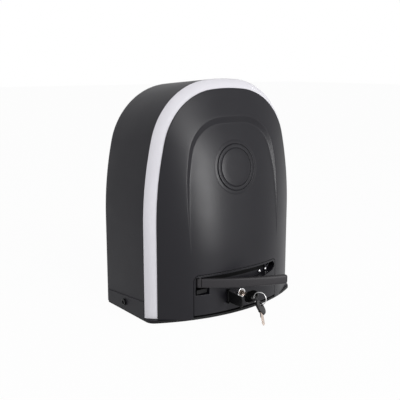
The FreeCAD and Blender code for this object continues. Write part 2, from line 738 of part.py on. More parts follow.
def make_front_panel(outer_ahead, recess):
    """The dark front: a crowned shell with the label recess and the release housing's opening."""
    core = new_body("panel_core")
    rim = new_sketch(core, "XZ_Plane", "panel_rim", S.cover_front + S.band_depth)
    arch(rim, S.band_width)
    pad(core, rim, S.panel_nose - S.cover_front)
    spigot = new_sketch(core, "XZ_Plane", "panel_spigot", S.cover_front + S.band_depth)
    arch(spigot, S.band_width + S.band_wall + S.free_gap)
    pad(core, spigot, S.band_depth - 3.0, reverse=True)
    opening = bezel_outline(core, "release_opening", S.cover_front, S.bezel_gap)
    pocket(core, opening, S.panel_nose, along=True)
    low, high = float(S.bezel_low), float(S.bezel_high)
    round_edges(core, S.bezel_corner + S.bezel_gap, lambda edge: is_along(edge, Vector(0, 1, 0))
                and high < edge.CenterOfMass.z < high + 2
                and abs(abs(edge.CenterOfMass.x) - float(S.bezel_half_width)) < 2)
    hollow = new_body("panel_hollow")
    inside = new_sketch(hollow, "XZ_Plane", "panel_hollow_rim", S.cover_front)
    arch(inside, S.band_width + S.band_wall + S.panel_wall)
    pad(hollow, inside, S.panel_nose)
    wall_back = behind("panel_back_face", lambda x, z: panel_y(x, z) + float(
        S.panel_wall + S.recess_depth))
    cavity = join("MultiCommon", "panel_cavity", [hollow, wall_back])
    shell = join("Cut", "panel_shell", [core, outer_ahead])
    sunk = join("Cut", "panel_sunk", [shell, recess])
    return keep("front_panel", join("Cut", "front_panel", [sunk, cavity]))


def make_badge():
    """A plain round blank with a ring groove, lying on the recess floor."""
    body = new_body("badge_disc")
    outer, thick = S.badge_radius, S.badge_thickness
    groove = outer - 5.3
    turned(body, "badge_section", "XZ_Plane", [
        (0.0, 0.0), (outer, 0.0), (outer, thick - 0.5), (outer - 0.5, thick), (groove + 1.0, thick),
        (groove + 0.6, thick - 0.6), (groove - 0.6, thick - 0.6), (groove - 1.0, thick),
        (0.0, thick)])
    height = float(S.badge_height)
    step = 10.0
    rise = [panel_y(0, height + dz) + recess_sink(height + dz) for dz in (-step, step)]
    tilt = math.degrees(math.atan2(rise[1] - rise[0], 2 * step))
    depth = panel_y(0, height) + recess_sink(height)
    body.Placement = FreeCAD.Placement(Vector(0, depth, height),
                                       FreeCAD.Rotation(Vector(1, 0, 0), 90.0 - tilt))
    return keep("badge_disc", body)


# ---------------------------------------------------------------- base plate and gearcase

def foundation_slots(body, name, low, depth):
    """Four slotted holes for the foundation bolts."""
    sketch = new_sketch(body, "XY_Plane", name, low)
    for side in (-0.5, 0.5):
        for end in (-0.5, 0.5):
            slot(sketch, S.bolt_spacing_x * side, S.bolt_middle_y + S.bolt_spacing_y * end,
                 S.bolt_slot_length, S.bolt_slot_radius)
    pocket(body, sketch, depth, along=True)


def cable_hole(body, name, low, depth):
    """The round hole that the cable grommet sits in."""
    sketch = new_sketch(body, "XY_Plane", name, low)
    circle(sketch, S.cable_x, S.cable_y, S.cable_hole_radius)
    pocket(body, sketch, depth, along=True)


def make_base_plate():
    """The steel ground plate, bowed at the front."""
    body = new_body("base_plate")
    plan = new_sketch(body, "XY_Plane", "plate_plan")
    half, back, radius = S.plate_half_width, S.cover_back - 1, S.plate_nose_radius
    centre_y = radius - S.plate_nose
    corner_y = float(centre_y) - math.sqrt(float(radius) ** 2 - float(half) ** 2)
    ring = Part.Circle(Vector(0, float(centre_y), 0), Vector(0, 0, 1), float(radius))
    lean = math.asin(float(half) / float(radius))
    front = plan.addGeometry(Part.ArcOfCircle(ring, -math.pi / 2 - lean, -math.pi / 2 + lean))
    corners = [(half, corner_y), (half, back), (-half, back), (-half, corner_y)]
    lines = [plan.addGeometry(Part.LineSegment(Vector(float(x0), float(y0), 0),
                                               Vector(float(x1), float(y1), 0)))
             for (x0, y0), (x1, y1) in zip(corners, corners[1:])]
    for a, a_end, b, b_end in ((front, 2, lines[0], 1), (lines[0], 2, lines[1], 1),
                               (lines[1], 2, lines[2], 1), (lines[2], 2, front, 1)):
        plan.addConstraint(Sketcher.Constraint("Coincident", a, a_end, b, b_end))
    hold(plan, front, 3, 0.0, centre_y)
    hold_radius(plan, front, radius)
    hold(plan, front, 1, -half)
    hold(plan, front, 2, half)
    hold(plan, lines[1], 1, half, back)
    hold(plan, lines[1], 2, -half, back)
    pad(body, plan, S.plate_thickness)
    round_edges(body, S.plate_corner, lambda e: upright(e) and e.CenterOfMass.y < 0)
    round_edges(body, S.back_round, lambda e: upright(e) and e.CenterOfMass.y > float(back) - 1
                and abs(e.CenterOfMass.x) > float(half) - 1)
    foundation_slots(body, "plate_slots", 0.0, S.plate_thickness)
    cable_hole(body, "plate_cable_hole", 0.0, S.plate_thickness)
    return keep("base_plate", body)


def shaft_circle(body, name, forward, radius):
    """A circle about the output shaft's axis, in a plane forward of the middle."""
    sketch = new_sketch(body, "XZ_Plane", name, forward)
    circle(sketch, S.shaft_x, S.shaft_height, radius)
    return sketch


def worm_circle(body, name, height, radius):
    """A circle about the motor's axis, at a height."""
    sketch = new_sketch(body, "XY_Plane", name, height)
    circle(sketch, WORM_X, S.worm_y, radius)
    return sketch


def bolt_ring(body, name, role, offset, x, y, ring_radius, hole_radius, count, first_angle=0.0):
    """Equally spaced circles on a ring."""
    sketch = new_sketch(body, role, name, offset)
    for i in range(count):
        angle = math.radians(first_angle + 360.0 * i / count)
        circle(sketch, x + ring_radius * math.cos(angle), y + ring_radius * math.sin(angle),
               hole_radius)
    return sketch


WHEEL_PITCH_RADIUS = S.gear_module * S.wheel_teeth / 2
WHEEL_TIP_RADIUS = WHEEL_PITCH_RADIUS + S.gear_module
WORM_X = S.shaft_x + WHEEL_PITCH_RADIUS + S.worm_pitch_radius
CHAMBER_RADIUS = WHEEL_TIP_RADIUS + S.case_clearance
CASE_RADIUS = CHAMBER_RADIUS + S.case_wall
WORM_TIP_RADIUS = S.worm_pitch_radius + S.gear_module
FOOT_TOP = S.plate_thickness + S.foot_thickness
CASE_SCREW_RING = CHAMBER_RADIUS + S.case_wall / 2
CASE_SCREWS = 6


def make_gearcase():
    """The cast housing: foot, wheel chamber, worm bore, motor flange and shaft boss."""
    body = new_body("gearcase")
    foot = new_sketch(body, "XY_Plane", "case_foot", S.plate_thickness)
    rectangle(foot, -S.foot_half_width, -S.foot_front, S.foot_half_width, S.foot_back)
    pad(body, foot, S.foot_thickness)
    round_edges(body, 12.0, upright)
    lugs = new_sketch(body, "XY_Plane", "cover_lugs", S.plate_thickness)
    reach = S.cover_half_width - S.cover_wall
    for side in (-1, 1):
        inner, outer = sorted((side * (S.foot_half_width - 4), side * reach), key=float)
        rectangle(lugs, inner, S.cover_screw_y - S.lug_width / 2, outer,
                  S.cover_screw_y + S.lug_width / 2)
    pad(body, lugs, S.lug_height)
    lug_holes = new_sketch(body, "YZ_Plane", "lug_holes", -reach - 1)
    circle(lug_holes, S.cover_screw_y, S.cover_screw_height, S.cover_screw_radius)
    pocket(body, lug_holes, 2 * reach + 2, along=True)
    drum = shaft_circle(body, "case_drum", S.case_front, CASE_RADIUS)
    pad(body, drum, S.case_front + S.case_floor + 4, reverse=True)
    pedestal = new_sketch(body, "XZ_Plane", "case_pedestal", S.case_front)
    polygon(pedestal, [(S.shaft_x - CASE_RADIUS, FOOT_TOP - 1), (S.shaft_x + CASE_RADIUS, FOOT_TOP - 1),
                       (S.shaft_x + CASE_RADIUS, S.shaft_height - 20),
                       (S.shaft_x - CASE_RADIUS, S.shaft_height - 20)])
    pad(body, pedestal, S.case_front + S.case_floor + 4, reverse=True)
    column = worm_circle(body, "worm_column", FOOT_TOP - 1, WORM_TIP_RADIUS + 6)
    pad(body, column, S.case_top - FOOT_TOP + 1)
    flange = worm_circle(body, "motor_flange", S.case_top - S.case_flange_thickness, S.motor_radius)
    pad(body, flange, S.case_flange_thickness)
    boss = shaft_circle(body, "shaft_boss", -S.case_floor, S.boss_radius)
    pad(body, boss, S.boss_back - S.case_floor, reverse=True)
    chamber = shaft_circle(body, "wheel_chamber", -S.case_floor, CHAMBER_RADIUS)
    pocket(body, chamber, S.case_front + S.case_floor, along=True)
    bearing_end = S.case_floor + S.bearing_width
    seat = shaft_circle(body, "bearing_seat", -bearing_end, S.bearing_radius)
    pocket(body, seat, S.bearing_width, along=True)
    bore = shaft_circle(body, "shaft_passage", -S.boss_back, S.shaft_radius + 4)
    pocket(body, bore, S.boss_back - bearing_end, along=True)
    seal_seat = shaft_circle(body, "seal_seat", -S.boss_back, S.seal_radius)
    pocket(body, seal_seat, S.seal_width, along=True)
    worm_bore = worm_circle(body, "worm_bore", WORM_LOW - 2, WORM_TIP_RADIUS + 0.6)
    pocket(body, worm_bore, S.case_top - WORM_LOW + 2, along=True)
    worm_seat = worm_circle(body, "worm_bearing_seat", WORM_LOW - 2 - S.motor_bearing_width,
                            S.motor_bearing_radius)
    pocket(body, worm_seat, S.motor_bearing_width, along=True)
    screw_holes = bolt_ring(body, "case_screw_holes", "XZ_Plane", S.case_front, S.shaft_x,
                            S.shaft_height, CASE_SCREW_RING, 2.0, CASE_SCREWS, 30.0)
    pocket(body, screw_holes, 12.0)
    foundation_slots(body, "foot_slots", S.plate_thickness, S.foot_thickness)
    cable_hole(body, "foot_cable_hole", S.plate_thickness, S.foot_thickness)
    return keep("gearcase", body)


WORM_LOW = S.shaft_height - S.worm_length / 2


def make_gearcase_cover():
    """The plate that shuts the wheel chamber, with the front bearing's boss."""
    body = new_body("gearcase_cover")
    plate = shaft_circle(body, "cover_plate", S.case_front, CASE_RADIUS)
    pad(body, plate, S.case_cover_thickness)
    boss = shaft_circle(body, "cover_boss", S.case_front + S.case_cover_thickness,
                        S.bearing_radius + 5)
    pad(body, boss, S.bearing_width + 3 - S.case_cover_thickness)
    seat = shaft_circle(body, "front_bearing_seat", S.case_front, S.bearing_radius)
    pocket(body, seat, S.bearing_width, along=True)
    guide = new_sketch(body, "XZ_Plane", "rod_guide", S.case_front)
    circle(guide, S.lever_hinge_x, S.rod_height, S.rod_radius + S.running_fit)
    pocket(body, guide, S.case_cover_thickness, along=True)
    holes = bolt_ring(body, "cover_screw_holes", "XZ_Plane", S.case_front, S.shaft_x,
                      S.shaft_height, CASE_SCREW_RING, 2.0, CASE_SCREWS, 30.0)
    pocket(body, holes, S.case_cover_thickness, along=True)
    return keep("gearcase_cover", body)


def screw(label, role, shank_radius, length, head_radius, head_height):
    """A socket-head screw: its head sits on the plane, its shank runs against the normal."""
    body = new_body(label)
    plane_circle = new_sketch(body, role, label + "_head")
    circle(plane_circle, 0.0, 0.0, head_radius)
    pad(body, plane_circle, head_height)
    shank = new_sketch(body, role, label + "_shank")
    circle(shank, 0.0, 0.0, shank_radius)
    pad(body, shank, length, reverse=True)
    socket = new_sketch(body, role, label + "_socket", head_height)
    circle(socket, 0.0, 0.0, head_radius * 0.5)
    pocket(body, socket, head_height * 0.6)
    return body


def make_case_screws():
    """Screws of the gearcase cover."""
    screws = []
    for i in range(CASE_SCREWS):
        angle = math.radians(30.0 + 360.0 * i / CASE_SCREWS)
        item = screw(f"case_screw_{i}", "XZ_Plane", 2.0, S.case_cover_thickness + 10, 3.4, 4.0)
        place(item, S.shaft_x + CASE_SCREW_RING * math.cos(angle),
              -S.case_front - S.case_cover_thickness,
              S.shaft_height + CASE_SCREW_RING * math.sin(angle))
        screws.append(item)
    return keep("case_screws", group("case_screws", screws))


# ---------------------------------------------------------------- gears and shafts

def gear_outline(module, teeth, backlash, tip_trim=1.0, phase=0.0):
    """Outline of a spur gear in XY: straight-sided teeth with rounded-off proportions."""
    pitch_radius = module * teeth / 2
    root, tip = pitch_radius - 1.25 * module, pitch_radius + tip_trim * module
    base = pitch_radius * math.cos(math.radians(20.0))
    half_at_pitch = math.pi / (2 * teeth) - backlash / (2 * pitch_radius)

    def involute(radius):
        if radius <= base:
            return 0.0
        angle = math.acos(base / radius)
        return math.tan(angle) - angle

    offset = half_at_pitch + involute(pitch_radius)
    radii = [root] + [max(root, base) + (tip - max(root, base)) * i / 4.0 for i in range(5)]
    if root >= base:
        radii = radii[1:]
    points = []
    for tooth in range(teeth):
        centre = 2 * math.pi * tooth / teeth + phase
        flank = [(r, offset - involute(r)) for r in radii]
        for r, half in flank:
            points.append(Vector(r * math.cos(centre - half), r * math.sin(centre - half), 0))
        for r, half in reversed(flank):
            points.append(Vector(r * math.cos(centre + half), r * math.sin(centre + half), 0))
    return Part.makePolygon(points + [points[0]])


def gear_solid(module, teeth, width, bore, backlash, phase=0.0, twist=0.0, tip_trim=1.0):
    """A gear along +Y from the origin; twist in radians over its width makes it helical."""
    low = gear_outline(module, teeth, backlash, tip_trim, phase - twist / 2)
    if twist:
        high = gear_outline(module, teeth, backlash, tip_trim, phase + twist / 2)
        high.translate(Vector(0, 0, width))
        solid = Part.makeLoft([low, high], True, True)
    else:
        solid = Part.Face(low).extrude(Vector(0, 0, width))
    solid = solid.cut(Part.makeCylinder(bore, width))
    solid.rotate(Vector(0, 0, 0), Vector(1, 0, 0), -90.0)
    return solid


def make_worm_wheel():
    """The worm wheel, with pockets on its front face for the clutch's dogs."""
    teeth = int(float(S.wheel_teeth))
    lead_angle = math.atan(float(S.gear_module) / (2 * float(S.worm_pitch_radius)))
    twist = float(S.wheel_width) * math.tan(lead_angle) / float(WHEEL_PITCH_RADIUS)
    bore = float(S.shaft_radius + S.running_fit)
    wheel = gear_solid(float(S.gear_module), teeth, float(S.wheel_width), bore, 0.7,
                       phase=math.pi / teeth, twist=twist)
    for i in range(DOGS):
        wheel = wheel.cut(dog_shape(i, float(DOG_HEIGHT) + 0.6, 0.6))
    return keep("worm_wheel", place(solid_feature("worm_wheel", wheel),
                                    S.shaft_x, WHEEL_FRONT, S.shaft_height))


DOGS = 3
DOG_HEIGHT = Size(4.0, "4")
WHEEL_FRONT = S.worm_y - S.wheel_width / 2


def dog_shape(index, height, grow):
    """One clutch dog: a block ahead of the clutch ring, along +Y from the origin plane."""
    reach, half_width = float(S.shaft_radius) + 8.0, 3.0
    block_shape = Part.makeBox(6.0 + 2 * grow, height, 2 * (half_width + grow),
                               Vector(reach - 5.0 - grow, 0, -half_width - grow))
    block_shape.rotate(Vector(0, 0, 0), Vector(0, 1, 0), 120.0 * index)
    return block_shape


def make_output_shaft():
    """The output shaft, with the collar that backs the worm wheel and two keyways."""
    body = new_body("output_shaft")
    collar_front = S.worm_y + S.wheel_width / 2
    turned(body, "shaft_section", "XY_Plane", [
        (0.0, -S.shaft_front), (S.shaft_radius - 1, -S.shaft_front),
        (S.shaft_radius, 1 - S.shaft_front), (S.shaft_radius, collar_front),
        (S.shaft_collar_radius, collar_front),
        (S.shaft_collar_radius, collar_front + S.shaft_collar_width),
        (S.shaft_radius, collar_front + S.shaft_collar_width), (S.shaft_radius, S.shaft_back - 1),
        (S.shaft_radius - 1, S.shaft_back), (0.0, S.shaft_back)])
    keyway = new_sketch(body, "XY_Plane", "shaft_keyway", S.shaft_radius - 3)
    rectangle(keyway, -3.0, PINION_FRONT + 2, 3.0, PINION_FRONT + S.pinion_width - 2)
    pocket(body, keyway, 4.0, along=True)
    place(body, S.shaft_x, 0.0, S.shaft_height)
    return keep("output_shaft", body)


PINION_FRONT = S.cover_back + S.pinion_gap


def make_pinion():
    """The rack pinion outside the cover, its key and its retaining ring."""
    teeth = int(float(S.pinion_teeth))
    pinion = gear_solid(float(S.pinion_module), teeth, float(S.pinion_width),
                        float(S.shaft_radius), 0.2, phase=math.pi / 2)
    pinion = pinion.cut(Part.makeBox(6.0, float(S.pinion_width), 6.0,
                                     Vector(-3.0, 0, float(S.shaft_radius) - 3.0)))
    keep("pinion", place(solid_feature("pinion", pinion), S.shaft_x, PINION_FRONT, S.shaft_height))
    low = S.shaft_height + S.shaft_radius - 3
    key = block("pinion_key", S.shaft_x - 3, PINION_FRONT + 2, low, S.shaft_x + 3,
                PINION_FRONT + S.pinion_width - 2, low + 6)
    keep("pinion_key", key)
    ring = tube("pinion_retainer", S.shaft_radius + 3, S.shaft_radius, 0.0, 1.2, "XY_Plane")
    place(ring, S.shaft_x, PINION_FRONT + S.pinion_width, S.shaft_height)
    keep("pinion_retainer", ring)


def make_output_bearings():
    """The output shaft's two ball bearings, shown as closed rings."""
    inner = S.shaft_radius + S.running_fit
    rings = []
    for tag, low in (("front", -S.case_front - S.bearing_width), ("back", S.case_floor)):
        ring = tube("output_bearing_" + tag, S.bearing_radius, inner, low,
                    low + S.bearing_width, "XY_Plane")
        rings.append(place(ring, S.shaft_x, 0.0, S.shaft_height))
    keep("output_bearings", group("output_bearings", rings))
    seal = tube("shaft_seal", S.seal_radius, inner, S.boss_back - S.seal_width, S.boss_back,
                "XY_Plane")
    keep("shaft_seal", place(seal, S.shaft_x, 0.0, S.shaft_height))


CLUTCH_TRAVEL_SHUT = 1.85
CLUTCH_FACE = WHEEL_FRONT - CLUTCH_TRAVEL_SHUT - 0.3


def make_clutch():
    """The clutch ring with its dogs and fork groove, and the spring that pushes it home."""
    body = new_body("clutch_ring")
    outer, groove = S.bearing_radius, S.bearing_radius - 4.5
    low, high = CLUTCH_FACE - 10, CLUTCH_FACE
    inner = S.shaft_radius + S.running_fit
    turned(body, "clutch_section", "XY_Plane", [
        (inner, low), (outer, low), (outer, low + 2.2), (groove, low + 2.2), (groove, low + 7.2),
        (outer, low + 7.2), (outer, high), (inner, high)])
    place(body, S.shaft_x, 0.0, S.shaft_height)
    dogs = []
    for i in range(DOGS):
        dog = solid_feature(f"clutch_dog_{i}", dog_shape(i, float(DOG_HEIGHT), 0.0))
        dogs.append(place(dog, S.shaft_x, CLUTCH_FACE, S.shaft_height))
    keep("clutch_ring", join("MultiFuse", "clutch_ring_with_dogs", [body] + dogs))
    spring = new_body("clutch_spring")
    wire = new_sketch(spring, "XY_Plane", "spring_wire")
    start = -S.case_front + 1.2
    circle(wire, S.shaft_radius + 2.6, start, 0.9)
    helix = spring.newObject("PartDesign::AdditiveHelix", "spring_coil")
    helix.Profile = wire
    helix.ReferenceAxis = (wire, ["V_Axis"])
    helix.Mode = 0
    length = S.case_front + CLUTCH_FACE - 10 - 2.4
    bind(helix, "Height", length)
    bind(helix, "Pitch", length / 3)
    doc.recompute()
    keep("clutch_spring", place(spring, S.shaft_x, 0.0, S.shaft_height))


def make_release_rod():
    """The rod that draws the clutch ring forward: yoke, rod and fork in one piece."""
    body = new_body("release_rod")
    rod_end = CLUTCH_FACE - 10 + 2.5
    forward = S.lever_hinge_forward
    rod = new_sketch(body, "XZ_Plane", "rod_section", forward - S.yoke_depth / 2)
    circle(rod, S.lever_hinge_x, S.rod_height, S.rod_radius)
    pad(body, rod, rod_end + forward - S.yoke_depth / 2 + 2, reverse=True)
    yoke = new_sketch(body, "XY_Plane", "yoke_plan", S.rod_height - S.yoke_height / 2)
    rectangle(yoke, S.lever_hinge_x - S.yoke_half_width, -forward - S.yoke_depth / 2,
              S.lever_hinge_x + S.yoke_half_width, -forward + S.yoke_depth / 2)
    pad(body, yoke, S.yoke_height)
    fork = shaft_circle(body, "fork_outer", -rod_end, S.bearing_radius + 3)
    pad(body, fork, 4.2, reverse=True)
    web = new_sketch(body, "XZ_Plane", "fork_web", -rod_end)
    polygon(web, [(S.lever_hinge_x - 3, S.rod_height - 1), (S.lever_hinge_x + 5, S.rod_height - 3),
                  (S.shaft_x - 2, S.shaft_height - S.bearing_radius),
                  (S.shaft_x - S.bearing_radius + 3, S.shaft_height - 10)])
    pad(body, web, 4.2, reverse=True)
    hole = shaft_circle(body, "fork_hole", -rod_end, S.bearing_radius - 4.5 + S.free_gap)
    pocket(body, hole, 4.2)
    upper = new_sketch(body, "XZ_Plane", "fork_mouth", -rod_end)
    rectangle(upper, S.shaft_x - S.bearing_radius - 4, S.shaft_height - 2,
              S.shaft_x + S.bearing_radius + 4, S.shaft_height + S.bearing_radius + 4)
    pocket(body, upper, 4.2)
    rest = S.eccentric_lead - S.lever_open_angle
    slot_y = -forward + S.eccentric_throw * math.sin(math.radians(float(rest)))
    slit = new_sketch(body, "XY_Plane", "yoke_slot", S.rod_height - S.yoke_height / 2)
    slot(slit, S.lever_hinge_x + S.eccentric_throw / 2, slot_y,
         S.eccentric_throw + 2 * (S.eccentric_radius + S.free_gap + 1),
         S.eccentric_radius + S.free_gap)
    pocket(body, slit, S.yoke_height, along=True)
    return keep("release_rod", body)


# ---------------------------------------------------------------- motor and electrics

STATOR_HIGH = S.case_top + S.stator_height
MOTOR_TOP = STATOR_HIGH + S.motor_cap_height


def make_motor():
    """Stator shell, winding heads, rotor with its worm shaft, cap, bearings and long screws."""
    shell = tube("motor_stator", S.motor_radius, S.rotor_radius + S.air_gap,
                 S.case_top + S.coil_height, STATOR_HIGH - S.coil_height)
    skirt = tube("stator_shell", S.motor_radius, S.motor_radius - 3, S.case_top, STATOR_HIGH)
    for piece in (shell, skirt):
        place(piece, WORM_X, S.worm_y, 0.0)
    keep("motor_stator", join("MultiFuse", "motor_stator_stack", [shell, skirt]))
    coils = []
    for tag, low in (("low", S.case_top), ("high", STATOR_HIGH - S.coil_height)):
        coil = new_body("winding_" + tag)
        inner, outer = S.rotor_radius + 4, S.motor_radius - 5
        turned(coil, f"winding_{tag}_section", "XZ_Plane", [
            (inner, low + 0.5), (outer, low + 0.5), (outer + 1.5, low + 3), (outer, low + 8.5),
            (inner, low + 8.5), (inner - 1.5, low + 6)])
        coils.append(place(coil, WORM_X, S.worm_y, 0.0))
    keep("motor_windings", group("motor_windings", coils))
    core = tube("rotor_core", S.rotor_radius, S.rotor_shaft_radius, S.case_top + S.coil_height,
                STATOR_HIGH - S.coil_height)
    keep("rotor_core", place(core, WORM_X, S.worm_y, 0.0))
    cap = new_body("motor_cap")
    outer = S.motor_radius
    turned(cap, "cap_section", "XZ_Plane", [
        (S.motor_bearing_radius + 5, STATOR_HIGH), (outer, STATOR_HIGH), (outer, STATOR_HIGH + 8),
        (outer - 10, STATOR_HIGH + 8), (outer - 14, STATOR_HIGH + 15),
        (S.motor_bearing_radius + 8, STATOR_HIGH + 18),
        (S.motor_bearing_radius + 5, MOTOR_TOP), (0.0, MOTOR_TOP), (0.0, MOTOR_TOP - 4),
        (S.motor_bearing_radius, MOTOR_TOP - 4),
        (S.motor_bearing_radius, MOTOR_TOP - 4 - S.motor_bearing_width),
        (S.motor_bearing_radius + 5, MOTOR_TOP - 4 - S.motor_bearing_width)])
    keep("motor_cap", place(cap, WORM_X, S.worm_y, 0.0))
    rings = []
    inner = S.rotor_shaft_radius + S.running_fit
    for tag, low in (("low", WORM_LOW - 2 - S.motor_bearing_width),
                     ("high", MOTOR_TOP - 4 - S.motor_bearing_width)):
        ring = tube("motor_bearing_" + tag, S.motor_bearing_radius, inner, low,
                    low + S.motor_bearing_width)
        rings.append(place(ring, WORM_X, S.worm_y, 0.0))
    keep("motor_bearings", group("motor_bearings", rings))
    screws = []
    for i in range(3):
        angle = math.radians(30.0 + 120.0 * i)
        ring_radius = S.motor_radius - 5
        item = new_body(f"motor_screw_{i}")
        head = new_sketch(item, "XY_Plane", f"motor_screw_{i}_head", STATOR_HIGH + 8)
        circle(head, 0.0, 0.0, 3.0)
        pad(item, head, 3.5)
        screws.append(place(item, WORM_X + ring_radius * math.cos(angle),
                            S.worm_y + ring_radius * math.sin(angle), 0.0))
    keep("motor_screws", group("motor_screws", screws))


def make_worm_shaft():
    """The motor's shaft with the worm cut on its lower end."""
    body = new_body("worm_shaft")
    root = S.worm_pitch_radius - 1.25 * S.gear_module
    thin, top = S.rotor_shaft_radius, MOTOR_TOP - 5
    turned(body, "worm_shaft_section", "XZ_Plane", [
        (0.0, WORM_LOW - 10), (thin, WORM_LOW - 10), (thin, WORM_LOW - 1.5), (root, WORM_LOW - 1.5),
        (root, WORM_LOW + S.worm_length + 1.5), (thin, WORM_LOW + S.worm_length + 1.5),
        (thin, top), (0.0, top)])
    pitch = math.pi * S.gear_module
    tip = WORM_TIP_RADIUS
    half = pitch / 4 - 0.35
    flank = math.tan(math.radians(20.0))
    turns = 5
    start = S.shaft_height - pitch * turns / 2 + pitch / 2
    start = start - pitch * 0.5 if turns % 2 else start
    thread = new_sketch(body, "XZ_Plane", "worm_thread")
    spread = (S.worm_pitch_radius - root + 0.3) * flank
    shrink = (tip - S.worm_pitch_radius) * flank
    polygon(thread, [(root - 0.3, start - half - spread), (tip, start - half + shrink),
                     (tip, start + half - shrink), (root - 0.3, start + half + spread)])
    helix = body.newObject("PartDesign::AdditiveHelix", "worm_helix")
    helix.Profile = thread
    helix.ReferenceAxis = (thread, ["V_Axis"])
    helix.Mode = 0
    bind(helix, "Pitch", pitch)
    bind(helix, "Height", pitch * turns)
    grown(body, helix, True)
    return keep("worm_shaft", place(body, WORM_X, S.worm_y, 0.0))


BOARD_Y = -35.0
BOARD_LOW = 128.0


def make_electrics():
    """Board tray, control board with what stands on it, capacitor, transformer and grommet."""
    tray = block("board_tray", -72.0, BOARD_Y, BOARD_LOW - 4, 72.0, BOARD_Y + 2.5, BOARD_LOW + 92)
    for side in (-1, 1):
        leg = new_sketch(tray, "XY_Plane", f"tray_leg_{side}", FOOT_TOP)
        x = 74.0 * side
        rectangle(leg, x - 6, BOARD_Y, x + 6, BOARD_Y + 2.5)
        pad(tray, leg, BOARD_LOW - 3 - FOOT_TOP)
        lip = new_sketch(tray, "XY_Plane", f"tray_lip_{side}", BOARD_LOW - 4)
        rectangle(lip, 60.0 * side - 6, BOARD_Y - 4, 60.0 * side + 6, BOARD_Y + 1)
        pad(tray, lip, 4.0)
    keep("board_tray", tray)
    board = block("control_board", -66.0, BOARD_Y - 4.4, BOARD_LOW, 66.0, BOARD_Y - 2.8,
                  BOARD_LOW + 84)
    posts = new_sketch(board, "XZ_Plane", "board_posts", -BOARD_Y)
    for x, z in ((-58.0, 10.0), (58.0, 10.0), (-58.0, 76.0), (58.0, 76.0)):
        circle(posts, x, BOARD_LOW + z, 3.0)
    pad(board, posts, 3.0)
    keep("control_board", board)
    face = BOARD_Y - 4.4
    blocks = [block(f"terminal_{i}", -60.0 + 31.0 * i, face - 11, BOARD_LOW + 2, -33.0 + 31.0 * i,
                    face, BOARD_LOW + 14) for i in range(4)]
    keep("terminal_blocks", group("terminal_blocks", blocks))
    relays = [block(f"relay_{i}", 4.0 + 20.0 * i, face - 14, BOARD_LOW + 52, 20.0 + 20.0 * i, face,
                    BOARD_LOW + 70) for i in range(2)]
    keep("relays", group("relays", relays))
    for i, label in enumerate(("start_button", "learn_button")):
        x, z = -50.0 + 14.0 * i, BOARD_LOW + 40.0
        frame = block(label + "_case", x - 3, face - 3.6, z - 3, x + 3, face, z + 3)
        hole = new_sketch(frame, "XZ_Plane", label + "_well", -face)
        circle(hole, x, z, 1.75 + 0.06)
        pocket(frame, hole, 3.6, along=True)
        keep(label + "_case", frame)
        cap = new_body(label)
        stem = new_sketch(cap, "XZ_Plane", label + "_stem", -face + 0.9)
        circle(stem, x, z, 1.75)
        pad(cap, stem, 4.0)
        keep(label, cap)
    can = new_body("run_capacitor")
    x, y = S.shaft_x - 22, S.worm_y
    low = S.shaft_height + CASE_RADIUS
    outline = new_sketch(can, "XY_Plane", "capacitor_plan", low + 1.5)
    circle(outline, x, y, 16.0)
    pad(can, outline, 60.0)
    round_edges(can, 2.0, lambda e: e.CenterOfMass.z > float(low) + 30 and e.Closed)
    keep("run_capacitor", can)
    clip = block("capacitor_clip", x - 18, y - 8, S.shaft_height + 30, x + 18, y + 8, low + 1.5)
    drum = shaft_circle(clip, "clip_seat", S.case_front + 4, CASE_RADIUS)
    pocket(clip, drum, 80.0)
    keep("capacitor_clip", clip)


def make_transformer():
    """Laminated core and its winding, standing on the foot."""
    left, right = 38.0, 84.0
    front, back = 12.0, 48.0
    core = block("transformer_core", left, front + 8, FOOT_TOP, right, back - 8, FOOT_TOP + 56)
    window = new_sketch(core, "XZ_Plane", "core_windows", 0.0)
    middle = (left + right) / 2
    for side in (-1, 1):
        rectangle(window, middle + side * 11.5 - 4.5, FOOT_TOP + 9, middle + side * 11.5 + 4.5,
                  FOOT_TOP + 47)
    pocket(core, window, 80.0)
    keep("transformer_core", core)
    coil = block("transformer_coil", middle - 16, front, FOOT_TOP + 9, middle + 16, back,
                 FOOT_TOP + 47)
    bore = new_sketch(coil, "XZ_Plane", "coil_bore", 0.0)
    rectangle(bore, middle - 7, FOOT_TOP + 8, middle + 7, FOOT_TOP + 48)
    pocket(coil, bore, 80.0)
    keep("transformer_coil", coil)


def make_grommet():
    """The rubber grommet in the cable entry."""
    body = new_body("cable_grommet")
    hole, bore, lip = S.cable_hole_radius, S.cable_bore_radius, S.cable_hole_radius + S.grommet_lip
    turned(body, "grommet_section", "XZ_Plane", [
        (bore, 0.5), (hole, 0.5), (hole, FOOT_TOP), (lip, FOOT_TOP),
        (lip, FOOT_TOP + S.grommet_lip_height), (bore, FOOT_TOP + S.grommet_lip_height)])
    return keep("cable_grommet", place(body, S.cable_x, S.cable_y, 0.0))


# ---------------------------------------------------------------- release lever and lock

